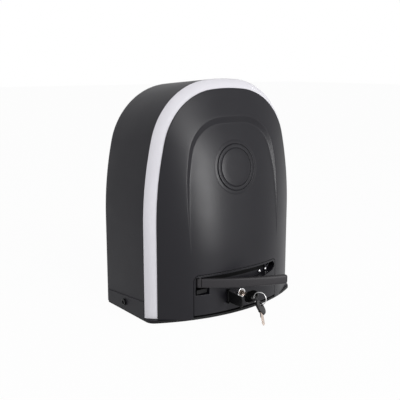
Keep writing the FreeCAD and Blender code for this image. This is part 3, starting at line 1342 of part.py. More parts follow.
def make_release_bezel(outer_ahead):
    """The release housing: the door-like front with the lever's slot and the lock."""
    body = new_body("bezel_block")
    outline = new_sketch(body, "XZ_Plane", "bezel_face", S.bezel_back)
    rectangle(outline, -S.bezel_half_width, S.bezel_low, S.bezel_half_width, S.bezel_high)
    pad(body, outline, S.panel_nose - S.bezel_back + 6)
    high = float(S.bezel_high)
    round_edges(body, S.bezel_corner, lambda e: is_along(e, Vector(0, 1, 0))
                and abs(e.CenterOfMass.z - high) < 0.1)
    yoke_room = new_sketch(body, "XZ_Plane", "yoke_room", S.bezel_back)
    low, top = S.rod_height - S.rod_radius - 0.6, S.slot_low + 0.3
    rectangle(yoke_room, S.lever_hinge_x - S.yoke_half_width - 0.8, low,
              S.lever_hinge_x + S.yoke_half_width + 1, top)
    reach = S.lever_hinge_forward + S.yoke_depth / 2 + 5 - S.bezel_back
    pocket(body, yoke_room, reach, along=True)
    lock_bore = new_sketch(body, "XZ_Plane", "lock_bore", S.bezel_back)
    circle(lock_bore, 0.0, S.lock_height, S.lock_radius)
    pocket(body, lock_bore, S.panel_nose, along=True)
    pin_bore = new_sketch(body, "XY_Plane", "hinge_pin_bore", S.slot_high - 2)
    circle(pin_bore, S.lever_hinge_x, -S.lever_hinge_forward, S.lever_pin_radius)
    pocket(body, pin_bore, S.bezel_high, along=True)
    opening = new_body("slot_prism")
    mouth = new_sketch(opening, "XZ_Plane", "slot_mouth", S.bezel_back - 1)
    polygon(mouth, [(-S.slot_half_width, S.slot_low), (S.slot_half_width - 26, S.slot_low - 2.4),
                    (S.slot_half_width - 5, S.slot_low + 2), (S.slot_half_width, S.slot_low + 6),
                    (S.slot_half_width, S.slot_high - 4), (S.slot_half_width - 4, S.slot_high),
                    (-S.slot_half_width, S.slot_high)])
    pad(opening, mouth, S.panel_nose)
    depth = float(S.slot_depth)
    slot_floor = ahead_of("slot_floor", lambda x, z: panel_y(x, z) + depth)
    scoop = join("MultiCommon", "slot_tool", [opening, slot_floor])
    knuckle_room = new_body("knuckle_room")
    ring = new_sketch(knuckle_room, "XY_Plane", "knuckle_circle", S.slot_low)
    circle(ring, S.lever_hinge_x, -S.lever_hinge_forward, S.lever_knuckle_radius + 1.4)
    pad(knuckle_room, ring, S.slot_high - S.slot_low)
    front_cut = join("Cut", "bezel_faced", [body, outer_ahead])
    scooped = join("Cut", "bezel_scooped", [front_cut, scoop])
    return keep("release_bezel", join("Cut", "release_bezel", [scooped, knuckle_room]))


def make_release_lever():
    """The long handle: a bowed bar with its hinge knuckle and the release eccentric."""
    body = new_body("release_lever")
    middle = -S.lever_hinge_x
    outer = S.lever_bow_radius
    centre_y = outer - S.lever_crown
    inner = outer - S.lever_thickness
    plan = new_sketch(body, "XY_Plane", "lever_plan", S.lever_low)
    ends = (0.0, float(S.lever_length))

    def bow(radius):
        ring = Part.Circle(Vector(float(middle), float(centre_y), 0), Vector(0, 0, 1), float(radius))
        angles = [-math.pi / 2 + math.asin((x - float(middle)) / float(radius)) for x in ends]
        index = plan.addGeometry(Part.ArcOfCircle(ring, angles[0], angles[1]))
        hold(plan, index, 3, middle, centre_y)
        hold_radius(plan, index, radius)
        hold(plan, index, 1, 0.0)
        hold(plan, index, 2, S.lever_length)
        return index, [ring.value(a) for a in angles]

    (front, front_ends), (back, back_ends) = bow(outer), bow(inner)
    for end, tip in enumerate((1, 2)):
        line = plan.addGeometry(Part.LineSegment(front_ends[end], back_ends[end]))
        plan.addConstraint(Sketcher.Constraint("Coincident", front, tip, line, 1))
        plan.addConstraint(Sketcher.Constraint("Coincident", back, tip, line, 2))
    pad(body, plan, S.lever_height)
    knuckle = new_sketch(body, "XY_Plane", "lever_knuckle", S.lever_low)
    circle(knuckle, 0.0, 0.0, S.lever_knuckle_radius)
    pad(body, knuckle, S.lever_height)
    round_edges(body, 2.0, lambda e: upright(e) and e.CenterOfMass.x > float(S.lever_length) - 1)
    bore = new_sketch(body, "XY_Plane", "lever_pin_bore", S.lever_low + 2)
    circle(bore, 0.0, 0.0, S.lever_pin_radius + S.running_fit)
    pocket(body, bore, S.lever_height, along=True)
    eccentric = new_sketch(body, "XY_Plane", "lever_eccentric", S.lever_low + 1)
    lead = math.radians(float(S.eccentric_lead))
    circle(eccentric, S.eccentric_throw * math.cos(lead), S.eccentric_throw * math.sin(lead),
           S.eccentric_radius)
    pad(body, eccentric, S.lever_low + 1 - S.rod_height + S.yoke_height / 2, reverse=True)
    place(body, S.lever_hinge_x, -S.lever_hinge_forward, 0.0, turn=-S.lever_open_angle)
    keep("release_lever", body)
    pin = new_body("lever_pin")
    section = new_sketch(pin, "XY_Plane", "pin_section", S.lever_low + 3)
    circle(section, 0.0, 0.0, S.lever_pin_radius)
    pad(pin, section, S.bezel_high - S.lever_low - 4)
    keep("lever_pin", place(pin, S.lever_hinge_x, -S.lever_hinge_forward, 0.0))


LOCK_FACE = S.panel_nose + S.lock_proud


def make_lock():
    """Lock cylinder, its turning plug with the cam, and the key in the plug."""
    barrel = tube("lock_cylinder", S.lock_radius, S.plug_radius + S.running_fit, -LOCK_FACE,
                  S.lock_length - LOCK_FACE, "XY_Plane")
    keep("lock_cylinder", place(barrel, 0.0, 0.0, S.lock_height))
    plug = new_body("lock_plug")
    back = S.lock_length - LOCK_FACE
    turned(plug, "plug_section", "XY_Plane", [
        (0.0, -LOCK_FACE), (S.plug_radius, -LOCK_FACE), (S.plug_radius, back + 3.5), (0.0, back + 3.5)])
    keyway = new_sketch(plug, "XZ_Plane", "keyway", LOCK_FACE + 1)
    half_thick = S.key_blade_thickness / 2 + S.free_gap
    half_high = S.key_blade_height / 2 + S.free_gap
    rectangle(keyway, -half_thick, -half_high, half_thick, half_high)
    pocket(plug, keyway, S.lock_length - 3)
    place(plug, 0.0, 0.0, S.lock_height, turn=S.key_turn, axis=(0, 1, 0))
    keep("lock_plug", plug)
    cam = new_body("lock_cam")
    arm = new_sketch(cam, "XZ_Plane", "cam_arm", -(back + 0.5) - S.cam_thickness)
    slot(arm, 0.0, 0.0, 2 * S.cam_length, 5.0)
    pad(cam, arm, S.cam_thickness)
    hole = new_sketch(cam, "XZ_Plane", "cam_hole", -(back + 0.5) - S.cam_thickness)
    circle(hole, 0.0, 0.0, S.plug_radius)
    pocket(cam, hole, S.cam_thickness, along=True)
    half = new_sketch(cam, "XZ_Plane", "cam_half", -(back + 0.5) - S.cam_thickness)
    rectangle(half, -S.cam_length - 1, -6.0, -6.2, 6.0)
    pocket(cam, half, S.cam_thickness, along=True)
    keep("lock_cam", place(cam, 0.0, 0.0, S.lock_height, turn=S.key_turn, axis=(0, 1, 0)))


def key_parts(tag):
    """A key in the YZ plane: blade along +Y from the origin, round grip ahead of it."""
    blade = new_body(tag + "_blade")
    side = new_sketch(blade, "YZ_Plane", tag + "_blade_side", -S.key_blade_thickness / 2)
    half = S.key_blade_height / 2
    tip = S.key_blade_length
    polygon(side, [(0.0, -half), (tip - 3, -half), (tip, -half + 2), (tip - 1.5, half - 1.5),
                   (tip - 3.5, half - 0.6), (tip - 5.5, half - 2.2), (tip - 7.5, half - 0.8),
                   (tip - 9.5, half - 2.0), (tip - 11, half), (0.0, half)])
    pad(blade, side, S.key_blade_thickness)
    bow = new_body(tag + "_bow")
    grip = new_sketch(bow, "YZ_Plane", tag + "_grip", -S.key_bow_thickness / 2)
    circle(grip, -S.key_bow_radius, 0.0, S.key_bow_radius)
    pad(bow, grip, S.key_bow_thickness)
    neck = new_sketch(bow, "YZ_Plane", tag + "_neck", -S.key_bow_thickness / 2)
    rectangle(neck, -5.0, -5.0, 0.0, 5.0)
    pad(bow, neck, S.key_bow_thickness)
    eye = new_sketch(bow, "YZ_Plane", tag + "_eye", -S.key_bow_thickness / 2)
    circle(eye, -S.key_bow_radius - S.key_hole_offset, 0.0, S.key_hole_radius)
    pocket(bow, eye, S.key_bow_thickness, along=True)
    round_edges(bow, 0.9, lambda e: abs(abs(e.CenterOfMass.x) - float(S.key_bow_thickness) / 2) < 0.01
                and abs(e.CenterOfMass.y + float(S.key_bow_radius)) < 3 and not upright(e))
    return blade, bow


def make_keys():
    """The key in the lock, the ring through its grip and the spare key that hangs from it."""
    blade, bow = key_parts("key")
    forward = LOCK_FACE + S.key_out
    for piece in (blade, bow):
        place(piece, 0.0, -forward, S.lock_height, turn=S.key_turn, axis=(0, 1, 0))
    keep("key_blade", blade)
    keep("key_bow", bow)
    eye_forward = forward + S.key_bow_radius + S.key_hole_offset
    ring = doc.addObject("Part::Torus", "key_ring")
    bind(ring, "Radius1", S.ring_radius)
    bind(ring, "Radius2", S.ring_wire)
    eye = Vector(0, -float(eye_forward), float(S.lock_height))
    centre = eye + RING_HANG * float(S.ring_radius)
    ring.Placement = FreeCAD.Placement(centre, FreeCAD.Rotation(Vector(0, 0, 1), RING_NORMAL))
    keep("key_ring", ring)
    lowest = centre + RING_LOW * float(S.ring_radius)
    spare_blade, spare_bow = key_parts("spare_key")
    hook = -float(S.key_bow_radius) - float(S.key_hole_offset)
    turn = FreeCAD.Rotation(SPARE_SIDE, SPARE_DOWN, SPARE_SIDE.cross(SPARE_DOWN), "XYZ")
    base = lowest - turn.multVec(Vector(0, hook, 0))
    for label, piece in (("spare_key_blade", spare_blade), ("spare_key_bow", spare_bow)):
        piece.Placement = FreeCAD.Placement(base, turn)
        keep(label, piece)


def unit(x, y, z):
    """A direction of length one."""
    vector = Vector(x, y, z)
    return vector / vector.Length


RING_NORMAL = unit(-0.8969, -0.4392, -0.0518)
RING_HANG = unit(0.4369, -0.8981, 0.0496)
RING_LOW = unit(RING_NORMAL.x * RING_NORMAL.z, RING_NORMAL.y * RING_NORMAL.z,
                RING_NORMAL.z * RING_NORMAL.z - 1)
SPARE_DOWN = unit(-0.5003, -0.7417, -0.4467)
SPARE_SIDE = unit(-0.4618, 0.665, -0.587)


def make_lock_flap():
    """The little cover of the lock, standing open on its pin."""
    body = new_body("lock_flap")
    outline = new_sketch(body, "XZ_Plane", "flap_face", 0.0)
    half = S.flap_height / 2
    rectangle(outline, 1.0, -half, S.flap_length, half)
    pad(body, outline, S.flap_thickness)
    barrel = new_sketch(body, "XY_Plane", "flap_barrel", -half)
    circle(barrel, 0.0, 0.0, 2.2)
    pad(body, barrel, S.flap_height)
    bore = new_sketch(body, "XY_Plane", "flap_bore", -half)
    circle(bore, 0.0, 0.0, S.flap_pin_radius + S.running_fit)
    pocket(body, bore, S.flap_height, along=True)
    round_edges(body, 3.0, lambda e: is_along(e, Vector(0, 1, 0))
                and e.CenterOfMass.x > float(S.flap_length) - 1)
    forward = S.panel_nose + 2.7
    place(body, S.flap_hinge_x, -forward, S.lock_height, turn=-S.flap_open_angle)
    keep("lock_flap", body)
    pin = new_body("flap_pin")
    section = new_sketch(pin, "XY_Plane", "flap_pin_section", -half - 2.5)
    circle(section, 0.0, 0.0, S.flap_pin_radius)
    pad(pin, section, S.flap_height + 5)
    for z in (-half - 2.5, half + 0.5):
        ear = new_sketch(pin, "XY_Plane", f"flap_ear_{'low' if float(z) < 0 else 'high'}", z)
        rectangle(ear, -2.0, -2.0, 2.0, 2.9)
        pad(pin, ear, 2.0)
    keep("flap_pin", place(pin, S.flap_hinge_x, -forward, S.lock_height))


# ---------------------------------------------------------------- outside of the back

def make_limit_switch():
    """Limit switch above the shaft's boss, with the sprung feeler that the rack's stops push over."""
    back = S.cover_back - S.cover_wall - S.free_gap
    face = new_body("limit_switch_case")
    plate = new_sketch(face, "XZ_Plane", "switch_plate", -back)
    circle(plate, S.shaft_x, S.shaft_height + S.notch_rise, S.boss_radius + 3)
    pad(face, plate, 2.0)
    low = S.shaft_height + S.boss_radius
    box = new_sketch(face, "XZ_Plane", "switch_box", -back)
    rectangle(box, S.shaft_x - 17, low - 8, S.shaft_x + 8, FEELER_HEIGHT + 12)
    pad(face, box, 24.0)
    clear = shaft_circle(face, "boss_clearance", 0.0, S.boss_radius)
    pocket(face, clear, 100.0)
    bore = new_sketch(face, "XY_Plane", "feeler_bore", low)
    circle(bore, S.feeler_x, back - 6, 2.04)
    pocket(face, bore, 60.0, along=True)
    window = new_sketch(face, "XY_Plane", "feeler_window", FEELER_HEIGHT - 3.4)
    polygon(window, [(S.feeler_x - 5, back - 10.5), (S.feeler_x + 5, back - 10.5),
                     (S.feeler_x + 12, back + 1), (S.feeler_x - 12, back + 1)])
    pocket(face, window, 6.8, along=True)
    keep("limit_switch", face)
    feeler = new_body("limit_feeler")
    hub = new_sketch(feeler, "XY_Plane", "feeler_hub", -3.0)
    circle(hub, 0.0, 0.0, 3.6)
    pad(feeler, hub, 6.0)
    pin = new_sketch(feeler, "XY_Plane", "feeler_pin", -6.0)
    circle(pin, 0.0, 0.0, 2.0)
    pad(feeler, pin, 12.0)
    rod = new_sketch(feeler, "XZ_Plane", "feeler_rod")
    circle(rod, 0.0, 0.0, 2.6)
    pad(feeler, rod, S.feeler_length, reverse=True)
    round_edges(feeler, 1.2, lambda e: e.Closed and e.CenterOfMass.y > float(S.feeler_length) - 0.1)
    keep("limit_feeler", place(feeler, S.feeler_x, back - 6, FEELER_HEIGHT))


FEELER_HEIGHT = S.shaft_height + S.feeler_rise


def make_cover_screws():
    """The two screws low on the cover's sides."""
    screws = []
    for side in (-1, 1):
        item = screw(f"side_screw_{'left' if side < 0 else 'right'}", "YZ_Plane", S.cover_screw_radius,
                     16.0, 4.6, 2.4)
        turn = 0.0 if side > 0 else 180.0
        place(item, (S.cover_half_width + S.skirt_proud) * side, S.cover_screw_y,
              S.cover_screw_height, turn=turn)
        screws.append(item)
    keep("cover_screws", group("cover_screws", screws))


# ---------------------------------------------------------------- the whole motor

def make_everything():
    """Builds every sub-part."""
    outer_ahead = ahead_of("panel_face", panel_y)
    make_base_plate()
    make_gearcase()
    make_gearcase_cover()
    make_case_screws()
    make_output_shaft()
    make_output_bearings()
    make_worm_wheel()
    make_pinion()
    make_clutch()
    make_release_rod()
    make_motor()
    make_worm_shaft()
    make_electrics()
    make_transformer()
    make_grommet()
    make_rear_cover()
    make_trim_band()
    make_front_panel(outer_ahead, tombstone_tool())
    make_badge()
    make_release_bezel(outer_ahead)
    make_release_lever()
    make_lock()
    make_keys()
    make_lock_flap()
    make_limit_switch()
    make_cover_screws()


def check_everything():
    """Stops on any object that failed or any sub-part without a sound solid."""
    doc.recompute()
    for item in doc.Objects:
        if "Invalid" in item.State or "Error" in item.State:
            raise RuntimeError(f"{item.Label} is {item.State}")
    for label, item in NODES.items():
        shape = item.Shape
        if shape.isNull() or not shape.isValid() or not shape.Solids:
            raise RuntimeError(f"{label} has no sound solid")


def write_parts():
    """Writes one STEP file for each sub-part."""
    os.makedirs("parts", exist_ok=True)
    for label, item in NODES.items():
        item.Shape.exportStep(f"parts/{label}.step")
        print(f"{label}: {len(item.Shape.Solids)} solid(s), {item.Shape.Volume / 1000:.1f} cm3")


make_everything()
check_everything()
write_parts()
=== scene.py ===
"""Looks of the sliding gate motor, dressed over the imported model.

Every sub-assembly is a class: it holds its sizes as fields, builds its meshes from numpy surfaces
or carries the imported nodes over, and dresses them. The model's frame has +Z up, -Y towards the
user and +Y towards the gate. Shapes are in millimetres until MM scales them; finishes, lamps and
the camera are in metres.
"""

import json
import logging
import math
from dataclasses import dataclass, field
from enum import Enum
from typing import Optional, Union

import bmesh
import bpy
import numpy as np
from mathutils import Matrix, Vector

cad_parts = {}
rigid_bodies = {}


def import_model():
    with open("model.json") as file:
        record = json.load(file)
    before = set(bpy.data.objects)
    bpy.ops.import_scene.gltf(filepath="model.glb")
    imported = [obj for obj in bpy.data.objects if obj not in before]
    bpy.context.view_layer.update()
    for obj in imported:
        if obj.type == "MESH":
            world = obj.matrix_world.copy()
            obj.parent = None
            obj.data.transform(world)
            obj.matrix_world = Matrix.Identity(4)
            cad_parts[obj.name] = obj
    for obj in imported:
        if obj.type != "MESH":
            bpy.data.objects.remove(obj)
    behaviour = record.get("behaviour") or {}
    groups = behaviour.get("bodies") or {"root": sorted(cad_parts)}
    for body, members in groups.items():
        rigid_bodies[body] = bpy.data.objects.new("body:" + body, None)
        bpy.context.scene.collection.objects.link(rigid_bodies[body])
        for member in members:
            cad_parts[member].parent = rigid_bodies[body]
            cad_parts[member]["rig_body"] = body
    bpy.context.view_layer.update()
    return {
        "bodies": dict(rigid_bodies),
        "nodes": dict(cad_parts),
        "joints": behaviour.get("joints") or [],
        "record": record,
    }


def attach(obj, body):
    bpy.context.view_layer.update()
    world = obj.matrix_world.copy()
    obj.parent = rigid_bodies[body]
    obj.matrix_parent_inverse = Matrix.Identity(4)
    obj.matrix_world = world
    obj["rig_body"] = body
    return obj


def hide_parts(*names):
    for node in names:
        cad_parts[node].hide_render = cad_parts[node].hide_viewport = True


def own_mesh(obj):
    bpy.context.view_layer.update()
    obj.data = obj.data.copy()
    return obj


log = logging.getLogger("gate_motor")

MM = 0.001
WAVE_SPACING = 0.314  # metres between a wave texture's bands at scale 1
Array = np.ndarray
Triple = tuple[float, float, float]
Colour = Triple
Value = Union[float, Colour, "Signal"]


# ------------------------------------------------------------------ shader graph

class Signal:
    """An output socket that takes part in Python arithmetic."""

    def __init__(self, board: "Board", socket: bpy.types.NodeSocket) -> None:
        """Keeps the socket with the board that its next nodes go on."""
        self.board = board
        self.socket = socket

    def joined(self, operation: str, other: Value, swap: bool = False) -> "Signal":
        """Adds a Math node of this signal and another value.

        Args:
            operation: the Math node's operation.
            other: the second operand.
            swap: puts the other value first.

        Returns:
            The node's result.
        """
        first, second = (other, self) if swap else (self, other)
        return self.board.add("Math", {"operation": operation}, {0: first, 1: second})

    def __add__(self, other: Value) -> "Signal":
        """Sum."""
        return self.joined("ADD", other)

    __radd__ = __add__

    def __sub__(self, other: Value) -> "Signal":
        """Difference."""
        return self.joined("SUBTRACT", other)

    def __rsub__(self, other: Value) -> "Signal":
        """Difference, from the other value."""
        return self.joined("SUBTRACT", other, swap=True)

    def __mul__(self, other: Value) -> "Signal":
        """Product."""
        return self.joined("MULTIPLY", other)

    __rmul__ = __mul__

    def between(self, low: float, high: float) -> "Signal":
        """Spreads 0..1 over low..high."""
        return self * (high - low) + low

    def step(self, low: float, high: float) -> "Signal":
        """A smooth step: 0 below low, 1 above high."""
        return self.board.add("MapRange", {"interpolation_type": "SMOOTHSTEP"},
                              {"Value": self, "From Min": low, "From Max": high})


class Board:
    """A material's or world's node tree and the one method that adds nodes to it."""

    def __init__(self, name: str, world: bool = False) -> None:
        """Starts an empty material, or a world, with its output."""
        self.owner = (bpy.data.worlds if world else bpy.data.materials).new(name)
        self.owner.use_nodes = True
        self.tree = self.owner.node_tree
        self.tree.nodes.clear()
        kind = "ShaderNodeOutputWorld" if world else "ShaderNodeOutputMaterial"
        self.output = self.tree.nodes.new(kind)

    def add(self, kind: str, settings: Optional[dict] = None, inputs: Optional[dict] = None,
            out: Union[int, str] = 0) -> Signal:
        """Adds one node, sets it up and wires it.

        Args:
            kind: the node's type, without its prefix "ShaderNode".
            settings: its properties, and "stops" for a colour ramp.
            inputs: socket name or index to a number, colour or signal.
            out: the output to return.

        Returns:
            The chosen output as a signal.
        """
        node = self.tree.nodes.new("ShaderNode" + kind)
        for key, value in (settings or {}).items():
            if key == "stops":
                ramp = node.color_ramp
                while len(ramp.elements) < len(value):
                    ramp.elements.new(1.0)
                for element, (place, colour) in zip(ramp.elements, value):
                    element.position = place
                    element.color = (*colour, 1.0)
            else:
                setattr(node, key, value)
        for key, value in (inputs or {}).items():
            socket = node.inputs[key]
            if isinstance(value, Signal):
                self.tree.links.new(value.socket, socket)
            elif isinstance(value, tuple) and len(socket.default_value) == 4:
                socket.default_value = (*value, 1.0)
            else:
                socket.default_value = value
        return Signal(self, node.outputs[out])

    def place(self, stretch: Triple = (1.0, 1.0, 1.0)) -> Signal:
        """Object coordinates, stretched along the axes."""
        where = self.add("TexCoord", out="Object")
        return self.add("Mapping", {}, {"Vector": where, "Scale": stretch})

    def noise(self, scale: float, detail: float = 2.0,
              stretch: Triple = (1.0, 1.0, 1.0)) -> Signal:
        """Smooth noise with so many features to a metre."""
        return self.add("TexNoise", {}, {"Vector": self.place(stretch), "Scale": scale,
                                         "Detail": detail})

    def cells(self, scale: float, feature: str = "F1") -> Signal:
        """Distance pattern of scattered cells."""
        return self.add("TexVoronoi", {"feature": feature},
                        {"Vector": self.place(), "Scale": scale}, out="Distance")

    def bands(self, pitch: float, axis: str, wobble: float = 0.0) -> Signal:
        """Even ridges with a pitch in metres across an axis."""
        return self.add("TexWave",
                        {"wave_type": "BANDS", "bands_direction": axis, "wave_profile": "SIN"},
                        {"Vector": self.place(), "Scale": WAVE_SPACING / pitch,
                         "Distortion": wobble})

    def shade(self, mask: Signal, colour: Colour, low: float, high: float) -> Signal:
        """Runs from a darker to a lighter tone of a colour with a mask."""
        dark, light = (tuple(min(1.0, part * factor) for part in colour) for factor in (low, high))
        return self.add("Mix", {"data_type": "RGBA", "clamp_factor": True},
                        {0: mask, 6: dark, 7: light}, out=2)

    def bump(self, height: Signal, depth: float, strength: float, edge: float = 0.0) -> Signal:
        """A normal from a height pattern, over edges eased by a small radius.

        Args:
            height: the pattern, 0..1.
            depth: what 1 stands for, in metres.
            strength: how much of it shows.
            edge: radius in metres by which sharp edges are eased.

        Returns:
            The normal.
        """
        inputs: dict = {"Height": height, "Distance": depth, "Strength": strength}
        if edge:
            inputs["Normal"] = self.add("Bevel", {"samples": 6}, {"Radius": edge})
        return self.add("Bump", {}, inputs)

    def finish(self, **sockets: Value) -> bpy.types.Material:
        """Adds the surface shader from named values and returns the material."""
        named = {key.replace("_", " ").replace("level", "Level"): value
                 for key, value in sockets.items()}
        return self.show(self.add("BsdfPrincipled", {}, named))

    def seen(self) -> Signal:
        """1 for rays of the camera, mirrors and clear matter, 0 for those that gather light."""
        camera, glossy, clear = (self.add("LightPath", out=name) for name in (
            "Is Camera Ray", "Is Glossy Ray", "Is Transmission Ray"))
        return camera.joined("MAXIMUM", glossy).joined("MAXIMUM", clear)

    def show(self, surface: Signal) -> bpy.types.ID:
        """Links a shader to the output and returns the material or world."""
        self.tree.links.new(surface.socket, self.output.inputs["Surface"])
        return self.owner


# ------------------------------------------------------------------ finishes

@dataclass(frozen=True)
class Moulding:
    """Moulded plastic with a fine spark-eroded grain."""

    name: str
    colour: Colour
    roughness: float = 0.42
    grain: float = 1900.0
    depth: float = 0.00005
    strength: float = 0.35
    shine: float = 0.42
    edge: float = 0.0006
    patch: float = 0.16

    def material(self) -> bpy.types.Material:
        """Grain from two noises and cells; its polish drifts slowly over the surface."""
        board = Board(self.name)
        fine = board.noise(self.grain, 3.0)
        pits = board.cells(self.grain * 0.8)
        drift = board.noise(9.0, 3.0)
        handled = board.noise(46.0, 4.0)
        shade = board.shade(drift * 0.6 + fine * 0.4, self.colour, 0.86, 1.16)
        rough = (drift * 0.6 + handled * 0.4).between(self.roughness - self.patch / 2,
                                                      self.roughness + self.patch / 2)
        normal = board.bump(fine * 0.65 + pits * 0.35, self.depth, self.strength, self.edge)
        return board.finish(Base_Color=shade, Roughness=rough, Normal=normal,
                            Specular_IOR_level=self.shine)


@dataclass(frozen=True)
class TurnedMetal:
    """Machined, drawn or ground metal with fine tool marks."""

    name: str
    colour: Colour
    roughness: float = 0.3
    marks: Triple = (1.0, 0.06, 1.0)
    scale: float = 2600.0
    strength: float = 0.14
    edge: float = 0.0003
    stain: float = 0.12

    def material(self) -> bpy.types.Material:
        """Tool marks are noise drawn out along one axis; stains darken it a little."""
        board = Board(self.name)
        tool = board.noise(self.scale, 2.0, self.marks)
        stain = board.noise(70.0, 4.0)
        shade = board.shade(stain * 0.7 + tool * 0.3, self.colour, 1.0 - self.stain,
                            1.0 + self.stain)
        rough = (stain * 0.5 + tool * 0.5).between(self.roughness - 0.08, self.roughness + 0.1)
        return board.finish(Base_Color=shade, Metallic=1.0, Roughness=rough,
                            Normal=board.bump(tool, 0.00003, self.strength, self.edge))


@dataclass(frozen=True)
class CastMetal:
    """Die-cast or sand-cast metal: a pebbled skin with darker hollows."""

    name: str
    colour: Colour
    roughness: float = 0.5
    pebble: float = 620.0

    def material(self) -> bpy.types.Material:
        """Pebbles are cells over noise, and the hollows between them hold the dark tone."""
        board = Board(self.name)
        pebbles = board.cells(self.pebble)
        cloud = board.noise(60.0, 5.0)
        shade = board.shade(cloud * 0.6 + pebbles * 0.5, self.colour, 0.72, 1.1)
        rough = cloud.between(self.roughness - 0.1, self.roughness + 0.14)
        return board.finish(Base_Color=shade, Metallic=0.9, Roughness=rough,
                            Normal=board.bump(pebbles * 0.5 + cloud * 0.5, 0.00018, 0.4, 0.0008))


@dataclass(frozen=True)
class WoundWire:
    """Enamelled wire wound in even turns."""

    name: str
    colour: Colour
    pitch: float
    axis: str

    def material(self) -> bpy.types.Material:
        """Turns are ridges across the axis, dark between one turn and the next."""
        board = Board(self.name)
        turns = board.bands(self.pitch, self.axis, 0.6)
        cloud = board.noise(180.0, 3.0)
        shade = board.shade(turns * 0.8 + cloud * 0.2, self.colour, 0.35, 1.25)
        return board.finish(Base_Color=shade, Metallic=0.55, Roughness=cloud.between(0.25, 0.42),
                            Coat_Weight=0.5, Normal=board.bump(turns, 0.0003, 0.7))


@dataclass(frozen=True)
class SheetStack:
    """A stack of electrical steel sheets, varnished."""

    name: str
    colour: Colour
    pitch: float
    axis: str

    def material(self) -> bpy.types.Material:
        """Each sheet's edge is a ridge, and varnish has run over them in patches."""
        board = Board(self.name)
        sheets = board.bands(self.pitch, self.axis, 0.15)
        varnish = board.noise(90.0, 4.0)
        shade = board.shade(sheets * 0.55 + varnish * 0.45, self.colour, 0.5, 1.2)
        return board.finish(Base_Color=shade, Metallic=0.75, Roughness=varnish.between(0.3, 0.55),
                            Normal=board.bump(sheets, 0.00016, 0.5, 0.0004))


@dataclass(frozen=True)
class CircuitBoard:
    """Solder mask over copper tracks."""

    name: str
    colour: Colour

    def material(self) -> bpy.types.Material:
        """Tracks are the borders of cells seen through the mask, which stands over them."""
        board = Board(self.name)
        web = board.cells(260.0, "DISTANCE_TO_EDGE")
        tracks = 1.0 - web.step(0.04, 0.09)
        cloud = board.noise(120.0, 3.0)
        shade = board.shade(tracks * 0.75 + cloud * 0.2, self.colour, 0.7, 1.9)
        return board.finish(Base_Color=shade, Roughness=cloud.between(0.24, 0.4),
                            Normal=board.bump(tracks, 0.00006, 0.6, 0.0002))


@dataclass(frozen=True)
class SoftRubber:
    """Matt rubber with bloom."""

    name: str
    colour: Colour

    def material(self) -> bpy.types.Material:
        """A dusty bloom lightens the rubber in patches and makes it duller there."""
        board = Board(self.name)
        bloom = board.noise(220.0, 5.0)
        shade = board.shade(bloom.step(0.45, 0.8), self.colour, 1.0, 2.4)
        return board.finish(Base_Color=shade, Roughness=bloom.between(0.6, 0.85),
                            Normal=board.bump(bloom, 0.00008, 0.4, 0.0005))


